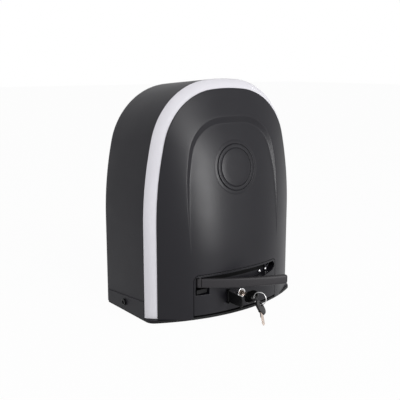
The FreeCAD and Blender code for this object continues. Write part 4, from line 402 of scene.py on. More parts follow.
class Finish(Enum):
    """Every finish on the machine."""

    HOOD = Moulding("hood_black", (0.0112, 0.0106, 0.0146), 0.5, 1500.0, 0.00006, 0.4, 0.2)
    FRONT = Moulding("front_black", (0.0078, 0.0074, 0.0102), 0.35, 2100.0, 0.00004, 0.3, 0.24)
    HANDLE = Moulding("handle_black", (0.0195, 0.018, 0.0205), 0.45, 1700.0, 0.00004, 0.3, 0.3)
    FLAP = Moulding("flap_black", (0.004, 0.004, 0.0045), 0.4, 1900.0, 0.00003, 0.25, 0.2)
    # Painted shade: the near-black of the sheet that darkens the lever's slot.
    SLOT = Moulding("slot_painted_shade", (0.002, 0.002, 0.0023), 0.6, 1500.0, 0.00006, 0.4, 0.08)
    # Blackened steel for the release rod; on the cover screws this near-black is painted shade,
    # standing in for the dark of their recessed holes.
    BLACKED = TurnedMetal("blacked_steel_and_painted_shade", (0.02, 0.02, 0.021), 0.42)
    BAND = Moulding("band_grey", (0.63, 0.62, 0.66), 0.42, 2200.0, 0.00002, 0.16, 0.3)
    GRIP = Moulding("grip_black", (0.004, 0.0038, 0.004), 0.36, 1600.0, 0.00003, 0.25, 0.22)
    CASE = Moulding("case_black", (0.024, 0.024, 0.026), 0.5)
    RELAY = Moulding("relay_blue", (0.035, 0.06, 0.16), 0.32, 2400.0)
    TERMINAL = Moulding("terminal_green", (0.03, 0.24, 0.075), 0.4)
    BUTTON = Moulding("button_red", (0.5, 0.03, 0.02), 0.34)
    CAPACITOR = Moulding("capacitor_white", (0.66, 0.66, 0.64), 0.36)
    PLATE = Moulding("plate_black", (0.006, 0.006, 0.0066), 0.55, 900.0, 0.00008, 0.4, 0.18)
    CASTING = CastMetal("cast_aluminium", (0.5, 0.51, 0.52))
    STEEL = TurnedMetal("turned_steel", (0.56, 0.56, 0.57))
    DARK_STEEL = TurnedMetal("oiled_steel", (0.28, 0.28, 0.29), 0.36)
    SPRING = TurnedMetal("spring_steel", (0.68, 0.68, 0.7), 0.2, (1.0, 1.0, 0.2), 900.0, 0.06)
    LOCK = TurnedMetal("lock_chrome", (0.74, 0.74, 0.76), 0.16, (1.0, 0.3, 1.0), 700.0, 0.06)
    PLUG = TurnedMetal("plug_nickel", (0.3, 0.28, 0.26), 0.26, (1.0, 0.3, 1.0), 900.0, 0.08)
    BLADE = TurnedMetal("key_metal", (0.6, 0.5, 0.44), 0.26, (1.0, 0.15, 1.0), 1500.0, 0.1)
    BRONZE = TurnedMetal("wheel_bronze", (0.5, 0.32, 0.13), 0.34)
    WINDING = WoundWire("winding_copper", (0.52, 0.17, 0.06), 0.0009, "Z")
    COIL = WoundWire("coil_copper", (0.5, 0.2, 0.07), 0.0008, "Z")
    STACK = SheetStack("stator_sheets", (0.3, 0.3, 0.31), 0.0011, "Z")
    CORE = SheetStack("core_sheets", (0.24, 0.23, 0.23), 0.0011, "Y")
    BOARD = CircuitBoard("board_green", (0.012, 0.12, 0.045))
    RUBBER = SoftRubber("grommet_rubber", (0.014, 0.014, 0.014))

    def material(self) -> bpy.types.Material:
        """The finish's material, made once."""
        found = bpy.data.materials.get(self.value.name)
        return found or self.value.material()


# ------------------------------------------------------------------ meshes

def grid_faces(rows: int, columns: int, close_rows: bool, close_columns: bool) -> Array:
    """Quads of a grid of points.

    Args:
        rows: points along the first parameter.
        columns: points along the second.
        close_rows: joins the last row to the first.
        close_columns: joins the last column to the first.

    Returns:
        An array of four point numbers to each face.
    """
    i = np.arange(rows if close_rows else rows - 1)
    j = np.arange(columns if close_columns else columns - 1)
    a, b = np.meshgrid(i, j, indexing="ij")
    c, d = (a + 1) % rows, (b + 1) % columns
    quads = np.stack([a * columns + b, c * columns + b, c * columns + d, a * columns + d], -1)
    return quads.reshape(-1, 4)


def linked(name: str, data: bpy.types.ID) -> bpy.types.Object:
    """Makes an object of some data in the scene."""
    item = bpy.data.objects.new(name, data)
    bpy.context.scene.collection.objects.link(item)
    return item


@dataclass
class Piece:
    """A finished mesh on its way to becoming an object that rides on a body."""

    name: str
    body: str
    finish: Finish
    replaces: tuple[str, ...] = ()
    slot: str = ""

    def publish(self, mesh: bpy.types.Mesh) -> bpy.types.Object:
        """Makes the object, dresses it and hands it to the frame.

        Args:
            mesh: the finished mesh, in the model's frame.

        Returns:
            The object.
        """
        item = linked(self.name, mesh)
        mesh.materials.clear()
        mesh.materials.append(self.finish.material())
        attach(item, self.body)
        if self.replaces:
            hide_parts(*self.replaces)
        log.info("%s: %d faces on %s", self.name, len(mesh.polygons), self.body)
        return item

    def surface(self, points: Array, close_rows: bool = False,
                close_columns: bool = True) -> bpy.types.Object:
        """Publishes a grid of points as one skin with outward faces and filled open ends.

        Args:
            points: rows by columns by three, in millimetres.
            close_rows: joins the last row to the first.
            close_columns: joins the last column to the first.

        Returns:
            The object.
        """
        rows, columns = points.shape[:2]
        quads = grid_faces(rows, columns, close_rows, close_columns)
        mesh = bpy.data.meshes.new(self.name)
        mesh.from_pydata(points.reshape(-1, 3) * MM, [], quads.tolist())
        shape = bmesh.new()
        shape.from_mesh(mesh)
        bmesh.ops.remove_doubles(shape, verts=shape.verts, dist=1e-6)
        bmesh.ops.holes_fill(shape, edges=[e for e in shape.edges if e.is_boundary])
        bmesh.ops.recalc_face_normals(shape, faces=shape.faces)
        smooth_by_angle(shape, 40.0)
        shape.to_mesh(mesh)
        shape.free()
        return self.publish(mesh)


def smooth_by_angle(shape: bmesh.types.BMesh, degrees: float) -> None:
    """Shades faces smooth and keeps edges sharper than an angle."""
    limit = math.radians(degrees)
    for face in shape.faces:
        face.smooth = True
    for edge in shape.edges:
        edge.smooth = len(edge.link_faces) == 2 and edge.calc_face_angle(0.0) < limit


def carried(frame: dict, node: str, finish: Finish, degrees: float = 26.0) -> bpy.types.Object:
    """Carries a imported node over: one merged, smoothly shaded copy in its finish.

    Args:
        node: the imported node.
        finish: what it is made of.
        degrees: edges sharper than this stay sharp.

    Returns:
        The new object, which stands for the node.
    """
    source = frame["nodes"][node]
    mesh = source.data.copy()
    shape = bmesh.new()
    shape.from_mesh(mesh)
    bmesh.ops.remove_doubles(shape, verts=shape.verts, dist=2e-6)
    smooth_by_angle(shape, degrees)
    shape.to_mesh(mesh)
    shape.free()
    if "custom_normal" in mesh.attributes:
        mesh.attributes.remove(mesh.attributes["custom_normal"])
    return Piece(node + "_dressed", source["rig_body"], finish, (node,)).publish(mesh)


def revolved(profile: Array, steps: int) -> Array:
    """A profile of (radius, height) points turned about +Z: rows follow it, columns go round."""
    angle = np.linspace(0.0, 2 * math.pi, steps, endpoint=False)
    radius, height = profile[:, 0][:, None], profile[:, 1][:, None]
    return np.stack([radius * np.cos(angle), radius * np.sin(angle),
                     height + 0.0 * angle], axis=-1)


def turned_to(points: Array, axis: Vector, place: Vector) -> Array:
    """Points built about +Z, laid along an axis from a place."""
    turn = np.array(Vector((0, 0, 1)).rotation_difference(axis).to_matrix())
    return points @ turn.T + np.array(place)


def forward(profile: Array, steps: int, place: Triple) -> Array:
    """A turned profile whose axis points out of the front from a place."""
    return turned_to(revolved(profile, steps), Vector((0, -1, 0)), Vector(place))


# ------------------------------------------------------------------ the arch and the front's face

@dataclass
class FrontShape:
    """The front's outline and crowned face, in millimetres."""

    half_width: float = 123.3
    side_start: float = 122.0
    side_radius: float = 450.0
    shoulder_radius: float = 95.0
    crown_radius: float = 268.0
    height: float = 305.0
    centre: float = 180.0
    band_width: float = 11.8
    edge: float = 41.6
    nose: float = 72.0
    nose_least: float = 12.0
    lean: float = 8.1
    lean_power: float = 1.6
    fullness: float = 2.6
    lean_low: float = 58.6
    badge_height: float = 192.6
    badge_radius: float = 30.0
    recess_low: float = 84.0
    recess_high: float = 242.6
    recess_depth: float = 4.4
    recess_share: float = 0.66
    recess_slope: float = 0.59
    recess_ease: float = 0.15
    recess_flat: float = 0.05
    recess_full: float = 1.5
    floor_ease: float = 0.5
    crest_ease: float = 0.25

    def arc_centres(self) -> tuple[Array, Array, Array]:
        """Centres of the side, shoulder and crown arcs: the shoulder circle touches the others."""
        side = np.array([self.half_width - self.side_radius, self.side_start])
        crown = np.array([0.0, self.height - self.crown_radius])
        span = crown - side
        length = np.hypot(*span)
        to_side = self.side_radius - self.shoulder_radius
        to_crown = self.crown_radius - self.shoulder_radius
        along = (to_side ** 2 - to_crown ** 2 + length ** 2) / (2 * length)
        across = math.sqrt(to_side ** 2 - along ** 2)
        unit = span / length
        return side, side + unit * along + np.array([-unit[1], unit[0]]) * across, crown

    def side_half_width(self, z: Array) -> Array:
        """Half width on the straight wall and, above side_start, on the long side arc."""
        rise = np.clip(z - self.side_start, 0.0, None)
        return self.half_width - self.side_radius + np.sqrt(self.side_radius ** 2 - rise ** 2)

    def reach(self, angle: Array, inset: float) -> Array:
        """How far the inset outline lies from the centre: ray against the arc it meets.

        Args:
            angle: angle of the ray above +X, 0 to 90 degrees, in radians.
            inset: how far inside the outline.

        Returns:
            The distances, in millimetres.
        """
        middle = np.array([0.0, self.centre])
        side, shoulder, crown = self.arc_centres()
        limits = []
        for other in (side, crown):
            unit = (shoulder - other) / np.hypot(*(shoulder - other))
            joint = shoulder + unit * self.shoulder_radius - middle
            limits.append(math.atan2(joint[1], joint[0]))
        ray = np.stack([np.cos(angle), np.sin(angle)], -1)
        result = np.zeros_like(angle)
        arcs = ((side, self.side_radius, angle < limits[0]),
                (shoulder, self.shoulder_radius, (angle >= limits[0]) & (angle < limits[1])),
                (crown, self.crown_radius, angle >= limits[1]))
        for place, radius, where in arcs:
            offset = middle - place
            half = ray @ offset
            root = np.sqrt(half ** 2 - offset @ offset + (radius - inset) ** 2)
            result = np.where(where, root - half, result)
        return result

    def outline(self, inset: float, low: float, straight: int, bend: int) -> Array:
        """The inset outline's points (x, z), from the left foot over the top to the right foot."""
        z = np.linspace(low, self.centre, straight)
        left = np.stack([-(self.side_half_width(z) - inset), z], -1)
        angle = np.linspace(math.pi, 0.0, bend)[1:-1]
        folded = np.minimum(angle, math.pi - angle)
        reach = self.reach(folded, inset)
        top = np.stack([reach * np.cos(angle), self.centre + reach * np.sin(angle)], -1)
        return np.concatenate([left, top, left[::-1] * np.array([-1.0, 1.0])])

    def ray_angle(self, x: Array, z: Array) -> Array:
        """Angle above the level at which the arch's centre sees a point, 0 for points below it."""
        return np.arctan2(np.maximum(z - self.centre, 0.0), np.abs(x) + 1e-9)

    def span(self, x: Array, z: Array) -> Array:
        """From the middle line, or above the arch's centre from there, to the panel's outline."""
        return np.where(z <= self.centre,
                        self.side_half_width(np.minimum(z, self.centre)) - self.band_width,
                        self.reach(self.ray_angle(x, z), self.band_width))

    def share(self, x: Array, z: Array) -> Array:
        """0 on the middle line, 1 on the panel's outline."""
        return np.hypot(x, np.maximum(z - self.centre, 0.0)) / self.span(x, z)

    def face(self, x: Array, z: Array) -> Array:
        """Y of the crowned face: it falls away by a power of the share and leans back upwards."""
        climb = np.clip(z - self.lean_low, 0.0, None) / (self.badge_height - self.lean_low)
        middle = np.maximum(self.nose - self.lean * climb ** self.lean_power,
                            self.edge + self.nose_least)
        share = self.share(x, z)
        return -self.edge - (middle - self.edge) * (1.0 - share ** self.fullness)

    def sink(self, z: Array) -> Array:
        """Depth of the label recess: square of the rise at first, then in step with it."""
        run = np.clip((z - self.recess_low) / (self.recess_high - self.recess_low), 0.0, None)
        return self.recess_depth * (1.0 + self.recess_ease) * run ** 2 / (run + self.recess_ease)

    def crease(self, angle: Array) -> Array:
        """The recess outline's share: less by a high power of the sine, which flattens its top."""
        return self.recess_share - self.recess_flat * np.sin(angle) ** 5

    def recessed(self, x: Array, z: Array) -> Array:
        """Y with the recess: the floor, then a slope that climbs to the face, eased at both.

        The slope is the floor's depth at the crease less recess_slope for each millimetre beyond
        it. Soft minima and maxima join the three, at full width where the floor is recess_full
        deep or more.
        """
        share, face, sink = self.share(x, z), self.face(x, z), self.sink(z)
        beyond = (share - self.crease(self.ray_angle(x, z))) * self.span(x, z)
        slope = face + sink - self.recess_slope * beyond
        ease = np.clip(sink / self.recess_full, 0.0, 1.0)
        floor = soft_least(face + sink, slope, self.floor_ease * ease)
        return np.where(sink > 0.0, soft_most(face, floor, self.crest_ease * ease), face)


def soft_most(a: Array, b: Array, ease: Union[float, Array]) -> Array:
    """The larger of two, with the corner eased over a width: half sum plus half hypotenuse."""
    return 0.5 * (a + b + np.sqrt((a - b) ** 2 + ease ** 2) - ease)


def soft_least(a: Array, b: Array, ease: Union[float, Array]) -> Array:
    """The smaller of two, with the corner eased over a width."""
    return -soft_most(-a, -b, ease)


@dataclass
class FrontPanel:
    """The dark crowned front with its recess, and the round blank in it."""

    shape: FrontShape = field(default_factory=FrontShape)
    opening_half: float = 71.1
    opening_high: float = 59.4
    opening_corner: float = 7.8
    low: float = 0.6
    wall: float = 3.0
    rim: float = 2.6
    bunching: float = 1.35
    hollow: float = 1.6
    blank_lip: float = 35.0
    blank_back: float = 0.97

    def opening_x(self, z: Array) -> Array:
        """Half width of the release housing's opening: straight, then round its top corner."""
        rise = np.clip(z - (self.opening_high - self.opening_corner), 0.0, self.opening_corner)
        return (self.opening_half - self.opening_corner
                + np.sqrt(np.maximum(self.opening_corner ** 2 - rise ** 2, 0.0)))

    def half_face(self) -> tuple[Array, Array]:
        """The face's right half: its points, and its quads but for those in the opening.

        Columns run from the middle line to the outline and bunch at the opening's edge and at the
        recess's crease; rows follow the outline from the foot to the top.

        Returns:
            The points, columns by rows by three, and four point numbers to each quad.
        """
        s = self.shape
        turn = np.sin(np.linspace(0.0, 1.0, 9) * math.pi / 2)
        corner = self.opening_high - self.opening_corner * (1 - turn)
        z = np.unique(np.concatenate([np.linspace(self.low, corner[0], 14), corner,
                                      np.linspace(self.opening_high, s.recess_low, 12),
                                      np.linspace(s.recess_low, s.centre, 44)]))
        angle = np.linspace(0.0, math.pi / 2, 120)[1:]
        straight = s.side_half_width(z) - s.band_width
        span = np.concatenate([straight, s.reach(angle, s.band_width)])
        rises = np.concatenate([np.zeros_like(z), angle])
        feet = np.concatenate([z, np.full_like(angle, s.centre)])
        open_share = self.opening_x(z) / straight
        back = np.clip((z - self.opening_high) / (s.recess_low - self.opening_high), 0.0, 1.0)
        crease = np.concatenate([open_share + (s.recess_share - open_share) * back,
                                 s.crease(angle)])
        inner = np.sin(np.linspace(0.0, 1.0, 49) * math.pi / 2)[:, None]
        outer = np.linspace(0.0, 1.0, 56)[1:, None] ** self.bunching
        distance = np.concatenate([inner * crease, crease + (1 - crease) * outer]) * span
        x, height = distance * np.cos(rises), feet + distance * np.sin(rises)
        y = s.recessed(x, height)
        behind_blank = np.hypot(x, height - s.badge_height) < s.badge_radius + self.hollow
        half = np.stack([x, np.where(behind_blank, y + self.hollow, y), height], -1)
        half = np.concatenate([half, half[-1:] + np.array([0.0, self.rim, 0.0])])
        columns, rows = half.shape[:2]
        quads = grid_faces(columns, rows, False, False)
        in_opening = ((quads[:, 0] // rows < inner.size - 1)
                      & (quads[:, 0] % rows < z.searchsorted(self.opening_high)))
        return half, quads[~in_opening]

    def skin(self) -> None:
        """Joins the half face to its mirror image and gives them the wall's thickness."""
        half, quads = self.half_face()
        points = half.reshape(-1, 3)
        both = np.concatenate([points, points * np.array([-1.0, 1.0, 1.0])]) * MM
        faces = np.concatenate([quads, quads[:, ::-1] + len(points)])
        piece = Piece("front_panel_skin", "housing", Finish.FRONT, ("front_panel",), "grey_plastic")
        mesh = bpy.data.meshes.new(piece.name)
        mesh.from_pydata(both, [], faces.tolist())
        form = bmesh.new()
        form.from_mesh(mesh)
        bmesh.ops.remove_doubles(form, verts=form.verts, dist=5e-6)
        bmesh.ops.delete(form, geom=[v for v in form.verts if not v.link_faces], context="VERTS")
        bmesh.ops.recalc_face_normals(form, faces=form.faces)
        front = sum(face.normal.y * face.calc_area() for face in form.faces)
        if front > 0:
            bmesh.ops.reverse_faces(form, faces=form.faces)
        smooth_by_angle(form, 40.0)
        form.to_mesh(mesh)
        form.free()
        item = piece.publish(mesh)
        wall = item.modifiers.new("wall", "SOLIDIFY")
        wall.thickness, wall.offset = self.wall * MM, -1.0

    def blank(self) -> None:
        """The round blank: rings about its middle, laid on the recess floor as a profile of
        (radius, height over the floor), with two narrow grooves round a nearly flush face."""
        s = self.shape
        r = s.badge_radius
        profile = np.array([(self.blank_lip + 0.6, -0.25), (self.blank_lip, 0.02), (r + 1.2, 0.07),
                            (r + 0.7, 0.05), (r + 0.45, -0.1), (r + 0.35, -1.1), (r - 0.35, -1.1),
                            (r - 0.45, 0.05), (r - 0.8, 0.3), (r - 1.6, 0.36), (25.6, 0.36),
                            (25.2, 0.28), (25.05, 0.1), (24.95, -0.75), (24.35, -0.75),
                            (24.25, 0.1), (24.1, 0.28), (23.7, 0.36), (16.0, 0.42), (8.0, 0.46),
                            (2.0, 0.48), (0.0, 0.48)])
        angle = np.linspace(0.0, 2 * math.pi, 160, endpoint=False)
        x = profile[:, :1] * np.cos(angle)
        z = s.badge_height + profile[:, :1] * np.sin(angle)
        y = s.face(x, z) + s.sink(z) - profile[:, 1:]
        back = np.stack([x[0] * self.blank_back, y[0] + self.hollow,
                         s.badge_height + (z[0] - s.badge_height) * self.blank_back], -1)
        points = np.concatenate([back[None], np.stack([x, y, z], -1)])
        Piece("round_blank", "housing", Finish.FRONT, ("badge_disc",), "badge").surface(points)


@dataclass
class TrimBand:
    """The pale band between the hood and the front."""

    shape: FrontShape = field(default_factory=FrontShape)
    back: float = -27.5
    front: float = -39.9
    low: float = 4.6
    ease: float = 0.9
    tongue: float = 3.0
    lip_high: float = 4.4
    lip_corner: float = 9.0
    lip_inset: float = 0.4
    lip_inward: float = 0.6
    lip_forward: float = 1.2

    def section(self) -> list[tuple[float, float]]:
        """The section's (inset, y) points: a sloping face from the hood's rim to the front's."""
        width, ease, front, back = self.shape.band_width, self.ease, self.front, self.back
        share = np.linspace(0.06, 0.94, 9)
        bulge = ease * (1.0 - (2.0 * share - 1.0) ** 2)
        slope = math.hypot(width, back - front)
        across, ahead = (back - front) / slope, width / slope
        face = [(float(width * t - across * d), float(back + (front - back) * t - ahead * d))
                for t, d in zip(share, bulge)]
        return ([(self.tongue, back + self.tongue), (self.tongue, back), (0.35, back),
                 (0.1, back - 0.2)] + face + [(width - 0.15, front - 0.1), (width, front + 0.2),
                 (width, back + self.tongue)])

    def build(self) -> None:
        """Carries the section round the arch: each of its points follows its own inset outline."""
        rows = []
        for inset, y in self.section():
            line = self.shape.outline(inset, self.low, 40, 120)
            rows.append(np.stack([line[:, 0], np.full(len(line), y), line[:, 1]], -1))
        Piece("pale_band", "housing", Finish.BAND, ("trim_band",), "grey_plastic").surface(
            np.stack(rows), close_rows=True, close_columns=False)

    def lips(self) -> None:
        """The dark rounded lip under each foot of the band: a plan outline with one large round
        corner, carried upwards through levels that draw in at the bottom and at the top."""
        half = self.shape.half_width - self.lip_inset
        inner = half - self.shape.band_width - self.lip_inward
        front, back, corner = self.front - self.lip_forward, self.back, self.lip_corner
        turn = np.linspace(0.0, math.pi / 2, 12)
        round_corner = np.stack([half - corner + corner * np.cos(turn),
                                 front + corner - corner * np.sin(turn)], -1)
        plan = np.concatenate([[[inner, back], [half, back]], round_corner, [[inner, front]]])
        middle = np.array([inner, back])
        levels = ((0.96, 0.3), (0.99, 0.7), (1.0, 1.4), (1.0, self.lip_high - 0.7),
                  (0.985, self.lip_high), (0.6, self.lip_high))
        for side, name in ((-1.0, "left"), (1.0, "right")):
            rows = [np.column_stack([(middle + (plan - middle) * size) * [side, 1.0],
                                     np.full(len(plan), high)]) for size, high in levels]
            Piece(f"band_lip_{name}", "housing", Finish.HOOD, (), "dark_plastic").surface(
                np.stack(rows))


# ------------------------------------------------------------------ release lever, lock and keys

@dataclass
class ReleaseLever:
    """The bowed handle with its knuckle and eccentric."""

    hinge: tuple[float, float] = (-59.2, -59.0)
    low: float = 42.3
    height: float = 12.2
    length: float = 115.8
    thickness: float = 7.0
    bow: float = 300.0
    crown: float = 13.0
    opened: float = 28.2
    start: float = 2.0
    tip: float = 4.0
    tip_shrink: float = 0.55
    knuckle: float = 6.4
    chamfer: float = 0.6
    throw: float = 4.2
    lead: float = 45.0
    stud: float = 2.5
    stud_low: float = 34.7
    stud_end: float = 1.0

    def placed(self, points: Array) -> Array:
        """Turns points about the hinge by the open angle and moves them to it."""
        turn = np.array(Matrix.Rotation(math.radians(-self.opened), 3, "Z"))
        return points @ turn.T + np.array([*self.hinge, 0.0])

    def bar(self) -> None:
        """A rounded box section carried along the bow; its last rings shrink to round the tip."""
        middle_x, centre_y = -self.hinge[0], self.bow - self.crown
        shoulder = self.length - self.tip
        into_tip = np.sin(np.linspace(0.1, 1.0, 9) * math.pi / 2)
        run = np.concatenate([np.linspace(self.start, shoulder, 60),
                              self.length - self.tip * (1 - into_tip)])
        beyond = np.clip((run - shoulder) / self.tip, 0.0, 1.0)
        shrink = 1.0 - self.tip_shrink * (1.0 - np.sqrt(np.maximum(1.0 - beyond ** 2, 0.0)))
        angle = np.arcsin((run - middle_x) / self.bow)
        turn = np.linspace(0.0, 2 * math.pi, 48, endpoint=False)
        across = np.sign(np.cos(turn)) * np.abs(np.cos(turn)) ** 0.5 * self.thickness / 2
        up = np.sign(np.sin(turn)) * np.abs(np.sin(turn)) ** 0.42 * self.height / 2
        radius = self.bow - self.thickness / 2 + across[None, :] * shrink[:, None]
        x = middle_x + radius * np.sin(angle)[:, None]
        y = centre_y - radius * np.cos(angle)[:, None]
        z = self.low + self.height / 2 + up[None, :] * (0.4 + 0.6 * shrink[:, None])
        piece = Piece("lever_bar", "release_lever", Finish.HANDLE, ("release_lever",),
                      "lever_plastic")
        piece.surface(self.placed(np.stack([x, y, z], -1)))

    def knuckle_and_eccentric(self) -> None:
        """Both are turned about upright axes: the knuckle on the hinge, the eccentric beside it."""
        high, ease = self.low + self.height, self.chamfer
        knuckle = revolved(np.array([(0.0, self.low), (self.knuckle - ease, self.low),
                                     (self.knuckle, self.low + ease), (self.knuckle, high - ease),
                                     (self.knuckle - ease, high), (0.0, high)]), 64)
        Piece("lever_knuckle", "release_lever", Finish.HANDLE, (), "lever_plastic").surface(
            self.placed(knuckle))
        top, bottom, lead = self.low + self.stud_end, self.stud_low, math.radians(self.lead)
        stud = revolved(np.array([(0.0, bottom), (self.stud - 0.4, bottom),
                                  (self.stud, bottom + 0.4), (self.stud, top), (0.0, top)]), 40)
        stud = stud + self.throw * np.array([math.cos(lead), math.sin(lead), 0.0])
        Piece("lever_eccentric", "release_lever", Finish.HANDLE, (), "lever_plastic").surface(
            self.placed(stud))


@dataclass
class LeverSlotFittings:
    """The dark boss and two bright screws at the right end of the lever's slot, and a sheet of
    painted shade in the slot.
    """

    screws: tuple[Triple, ...] = ((44.6, -59.2, 43.9), (56.6, -58.0, 44.9))
    boss: Triple = (58.0, -57.0, 51.5)
    slot_depth: float = 11.0
    shade_sheet_x: tuple[float, float] = (-50.0, 66.5)
    shade_sheet_z: tuple[float, float] = (46.6, 55.6)
    shade_sheet_ahead: float = 0.35
    shade_sheet_thick: float = 0.25

    def painted_shade_sheet(self) -> None:
        """A near-black sheet of painted shade a little ahead of the slot's floor, which makes the
        slot look as dark as a deeper one: the face's own shape, set back.
        """
        shape = FrontShape()
        x, z = np.meshgrid(np.linspace(*self.shade_sheet_x, 60), np.linspace(*self.shade_sheet_z, 8),
                           indexing="ij")
        points = np.stack([x, shape.face(x, z) + self.slot_depth - self.shade_sheet_ahead, z], -1)
        back = points[:, ::-1] + np.array([0.0, self.shade_sheet_thick, 0.0])
        sheet = np.concatenate([points, back], axis=1)
        # Painted shade: this near-black sheet stands in for the shade of a deeper slot.
        Piece("slot_painted_shade_sheet", "housing", Finish.SLOT, (), "dark_plastic").surface(sheet)

    def build(self) -> None:
        """Pan heads and a stepped boss, turned about the axis that points out of the slot."""
        for index, place in enumerate(self.screws):
            pan = np.array([(0.0, -3.0), (1.2, -3.0), (1.2, 0.0), (2.1, 0.0), (2.25, 0.3),
                            (2.1, 0.8), (1.5, 1.2), (0.9, 1.3), (0.8, 0.7), (0.0, 0.7)])
            Piece(f"slot_screw_{index + 1}", "housing", Finish.STEEL, (), "zinc_steel").surface(
                forward(pan, 40, place))
        ring = np.array([(0.0, -4.0), (4.2, -4.0), (4.2, 1.4), (3.8, 1.9), (2.9, 1.9), (2.6, 1.4),
                         (2.6, -0.4), (0.0, -0.6)])
        Piece("slot_boss", "housing", Finish.HOOD, (), "dark_plastic").surface(
            forward(ring, 56, self.boss))


@dataclass
class LockFront:
    """The lock's bright collar round its plug."""

    centre: Triple = (0.0, -74.6, 25.5)
    radius: float = 6.4
    bore: float = 4.7
    length: float = 27.0

    def collar(self) -> None:
        """A tube with a rounded lip, turned about the axis that points out of the lock."""
        r, b = self.radius, self.bore
        section = np.array([(r, -self.length), (r, -0.9), (r - 0.12, -0.4), (r - 0.45, -0.1),
                            (r - 0.9, 0.0), (b + 0.5, 0.0), (b + 0.15, -0.15), (b, -0.6),
                            (b, -self.length)])
        Piece("lock_collar", "housing", Finish.LOCK, ("lock_cylinder",), "lock_chrome").surface(
            forward(section, 96, self.centre), close_rows=True)


@dataclass
class SplitRing:
    """The key ring: flat wire wound twice."""

    centre: Triple = (3.7, -106.2, 25.9)
    normal: Triple = (-0.8969, -0.4392, -0.0518)
    radius: float = 8.5
    wire: float = 0.46
    turns: float = 1.94
    step_start: float = 0.97
    step_length: float = 0.06

    def build(self) -> None:
        """A round wire whose middle goes twice round; it steps sideways at the end of a turn."""
        run = np.linspace(0.0, self.turns * 2 * math.pi, 260)
        step = np.clip((run - 2 * math.pi * self.step_start) / (2 * math.pi * self.step_length),
                       0.0, 1.0)
        side = (step * step * (3 - 2 * step) - 0.5) * 2 * self.wire
        turn = np.linspace(0.0, 2 * math.pi, 14, endpoint=False)
        taper = np.ones_like(run)
        taper[0] = taper[-1] = 0.5
        radius = self.radius + self.wire * np.cos(turn)[None, :] * taper[:, None]
        x, y = radius * np.cos(run)[:, None], radius * np.sin(run)[:, None]
        z = side[:, None] + self.wire * np.sin(turn)[None, :] * taper[:, None]
        axis = Vector(self.normal).normalized()
        points = turned_to(np.stack([x, y, z], -1), axis, Vector(self.centre))
        Piece("split_ring", "key_ring", Finish.SPRING, ("key_ring",), "bright_steel").surface(
            points)


# ------------------------------------------------------------------ everything carried over

@dataclass
class Works:
    """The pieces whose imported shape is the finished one."""

    frame: dict
    hood: dict[str, Finish] = field(default_factory=lambda: {
        "rear_cover": Finish.HOOD, "release_bezel": Finish.FRONT, "base_plate": Finish.PLATE,
        # The cover screws are near-black as painted shade of their recessed holes.
        "cover_screws": Finish.BLACKED, "lock_flap": Finish.FLAP, "flap_pin": Finish.FLAP,
        "release_rod": Finish.BLACKED,
        "key_blade": Finish.BLADE, "key_bow": Finish.GRIP, "spare_key_blade": Finish.BLADE,
        "spare_key_bow": Finish.GRIP, "lock_plug": Finish.PLUG, "lock_cam": Finish.STEEL,
        "lever_pin": Finish.STEEL, "cable_grommet": Finish.RUBBER})
    skipped: tuple[str, ...] = ("front_panel", "badge_disc", "trim_band", "release_lever",
                                "lock_cylinder", "key_ring")
    spring_keep: float = 0.6

    def guess(self, node: str) -> Finish:
        """The finish of a piece by what its name says it is."""
        rules = (("winding", Finish.WINDING), ("coil", Finish.COIL), ("stator", Finish.STACK),
                 ("core", Finish.CORE), ("board", Finish.BOARD), ("relay", Finish.RELAY),
                 ("terminal", Finish.TERMINAL), ("capacitor_clip", Finish.STEEL),
                 ("capacitor", Finish.CAPACITOR), ("button_case", Finish.CASE),
                 ("button", Finish.BUTTON), ("spring", Finish.SPRING), ("seal", Finish.RUBBER),
                 ("gearcase", Finish.CASTING), ("motor_cap", Finish.CASTING),
                 ("wheel", Finish.BRONZE), ("switch", Finish.CASE), ("tray", Finish.CASE),
                 ("bearing", Finish.STEEL), ("screw", Finish.STEEL), ("rod", Finish.STEEL))
        for word, finish in rules:
            if word in node:
                return finish
        return Finish.DARK_STEEL

    def dress(self) -> None:
        """Carries every remaining node over in its finish; the clutch spring gets a mesh of its
        own.
        """
        for node in sorted(self.frame["nodes"]):
            if node not in self.skipped:
                item = carried(self.frame, node, self.hood.get(node) or self.guess(node))
                if node == "clutch_spring":
                    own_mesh(item)


# ------------------------------------------------------------------ stage, light and camera

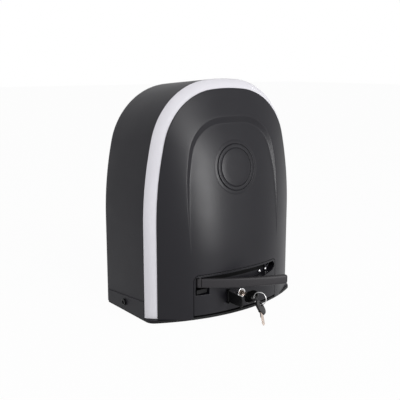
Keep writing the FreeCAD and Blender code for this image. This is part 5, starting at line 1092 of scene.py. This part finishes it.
@dataclass
class Stage:
    """Floor, backdrop, lamps and camera."""

    camera: Triple = (-0.5644, -0.7259, 0.3228)
    azimuth: float = 37.21
    elevation: float = 11.28
    lens: float = 61.125
    sensor: float = 36.0
    sky: float = 0.36
    floor_white: float = 0.965
    floor_half: float = 9.0
    floor_drop: float = 0.0002

    def floor(self) -> None:
        """A wide sheet that the camera and mirrors see as white and that takes the shadow."""
        board = Board("floor_white")
        diffuse = board.add("BsdfDiffuse", {}, {"Color": (0.8, 0.8, 0.8)})
        white = board.add("Emission", {}, {"Color": (1.0, 1.0, 1.0), "Strength": 1.0})
        share = board.seen() * self.floor_white
        mixed = board.add("MixShader", {}, {0: share, 1: diffuse, 2: white})
        mesh, half = bpy.data.meshes.new("floor"), self.floor_half
        mesh.from_pydata([(-half, -half, 0), (half, -half, 0), (half, half, 0), (-half, half, 0)],
                         [], [(0, 1, 2, 3)])
        mesh.materials.append(board.show(mixed))
        item = linked("floor", mesh)
        item.location.z = -self.floor_drop

    def world(self) -> None:
        """White for the camera and for mirrors, softer for the light that it gives."""
        board = Board("studio", world=True)
        strength = board.seen().joined("MAXIMUM", self.sky)
        back = board.add("Background", {}, {"Color": (1.0, 1.0, 1.0), "Strength": strength})
        bpy.context.scene.world = board.show(back)

    def lamp(self, name: str, place: Vector, aim: Vector, size: tuple[float, float],
             power: float) -> None:
        """A soft rectangular lamp.

        Args:
            name: its name.
            place: where it hangs.
            aim: what it points at.
            size: its width and height.
            power: in watts.
        """
        light = bpy.data.lights.new(name, "AREA")
        light.shape, light.size, light.size_y, light.energy = "RECTANGLE", *size, power
        item = linked(name, light)
        item.location = place
        item.rotation_euler = (aim - place).to_track_quat("-Z", "Y").to_euler()

    def light(self) -> None:
        """Two soft boxes before the front, a wash from the left and a wide one overhead."""
        aim = Vector((0.0, 0.0, 0.17))
        self.lamp("front_box", Vector((0.52, -1.95, 0.3)), aim, (0.5, 1.0), 32.0)
        self.lamp("front_top_box", Vector((-0.2, -1.6, 1.25)), aim, (0.4, 0.4), 11.0)
        self.lamp("left_wash", Vector((-2.1, -0.7, 0.9)), aim, (0.9, 1.2), 5.5)
        self.lamp("overhead", Vector((-0.3, 0.3, 2.2)), aim, (1.6, 1.6), 3.0)

    def view(self) -> None:
        """The camera, from its place, azimuth left of the front and elevation."""
        data = bpy.data.cameras.new("camera")
        data.lens, data.sensor_width = self.lens, self.sensor
        item = linked("camera", data)
        item.location = self.camera
        item.rotation_euler = (math.radians(90.0 - self.elevation), 0.0,
                               math.radians(-self.azimuth))
        bpy.context.scene.camera = item
        bpy.context.scene.view_settings.view_transform = "Standard"


def main() -> None:
    """Builds the stage and every sub-assembly in order."""
    logging.basicConfig(level=logging.INFO, format="%(name)s %(message)s")
    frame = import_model()
    stage = Stage()
    stage.view()
    stage.world()
    stage.floor()
    stage.light()
    front = FrontPanel()
    front.skin()
    front.blank()
    band = TrimBand()
    band.build()
    band.lips()
    lever = ReleaseLever()
    lever.bar()
    lever.knuckle_and_eccentric()
    fittings = LeverSlotFittings()
    fittings.painted_shade_sheet()
    fittings.build()
    LockFront().collar()
    SplitRing().build()
    Works(frame).dress()


if __name__ == "__main__":
    main()
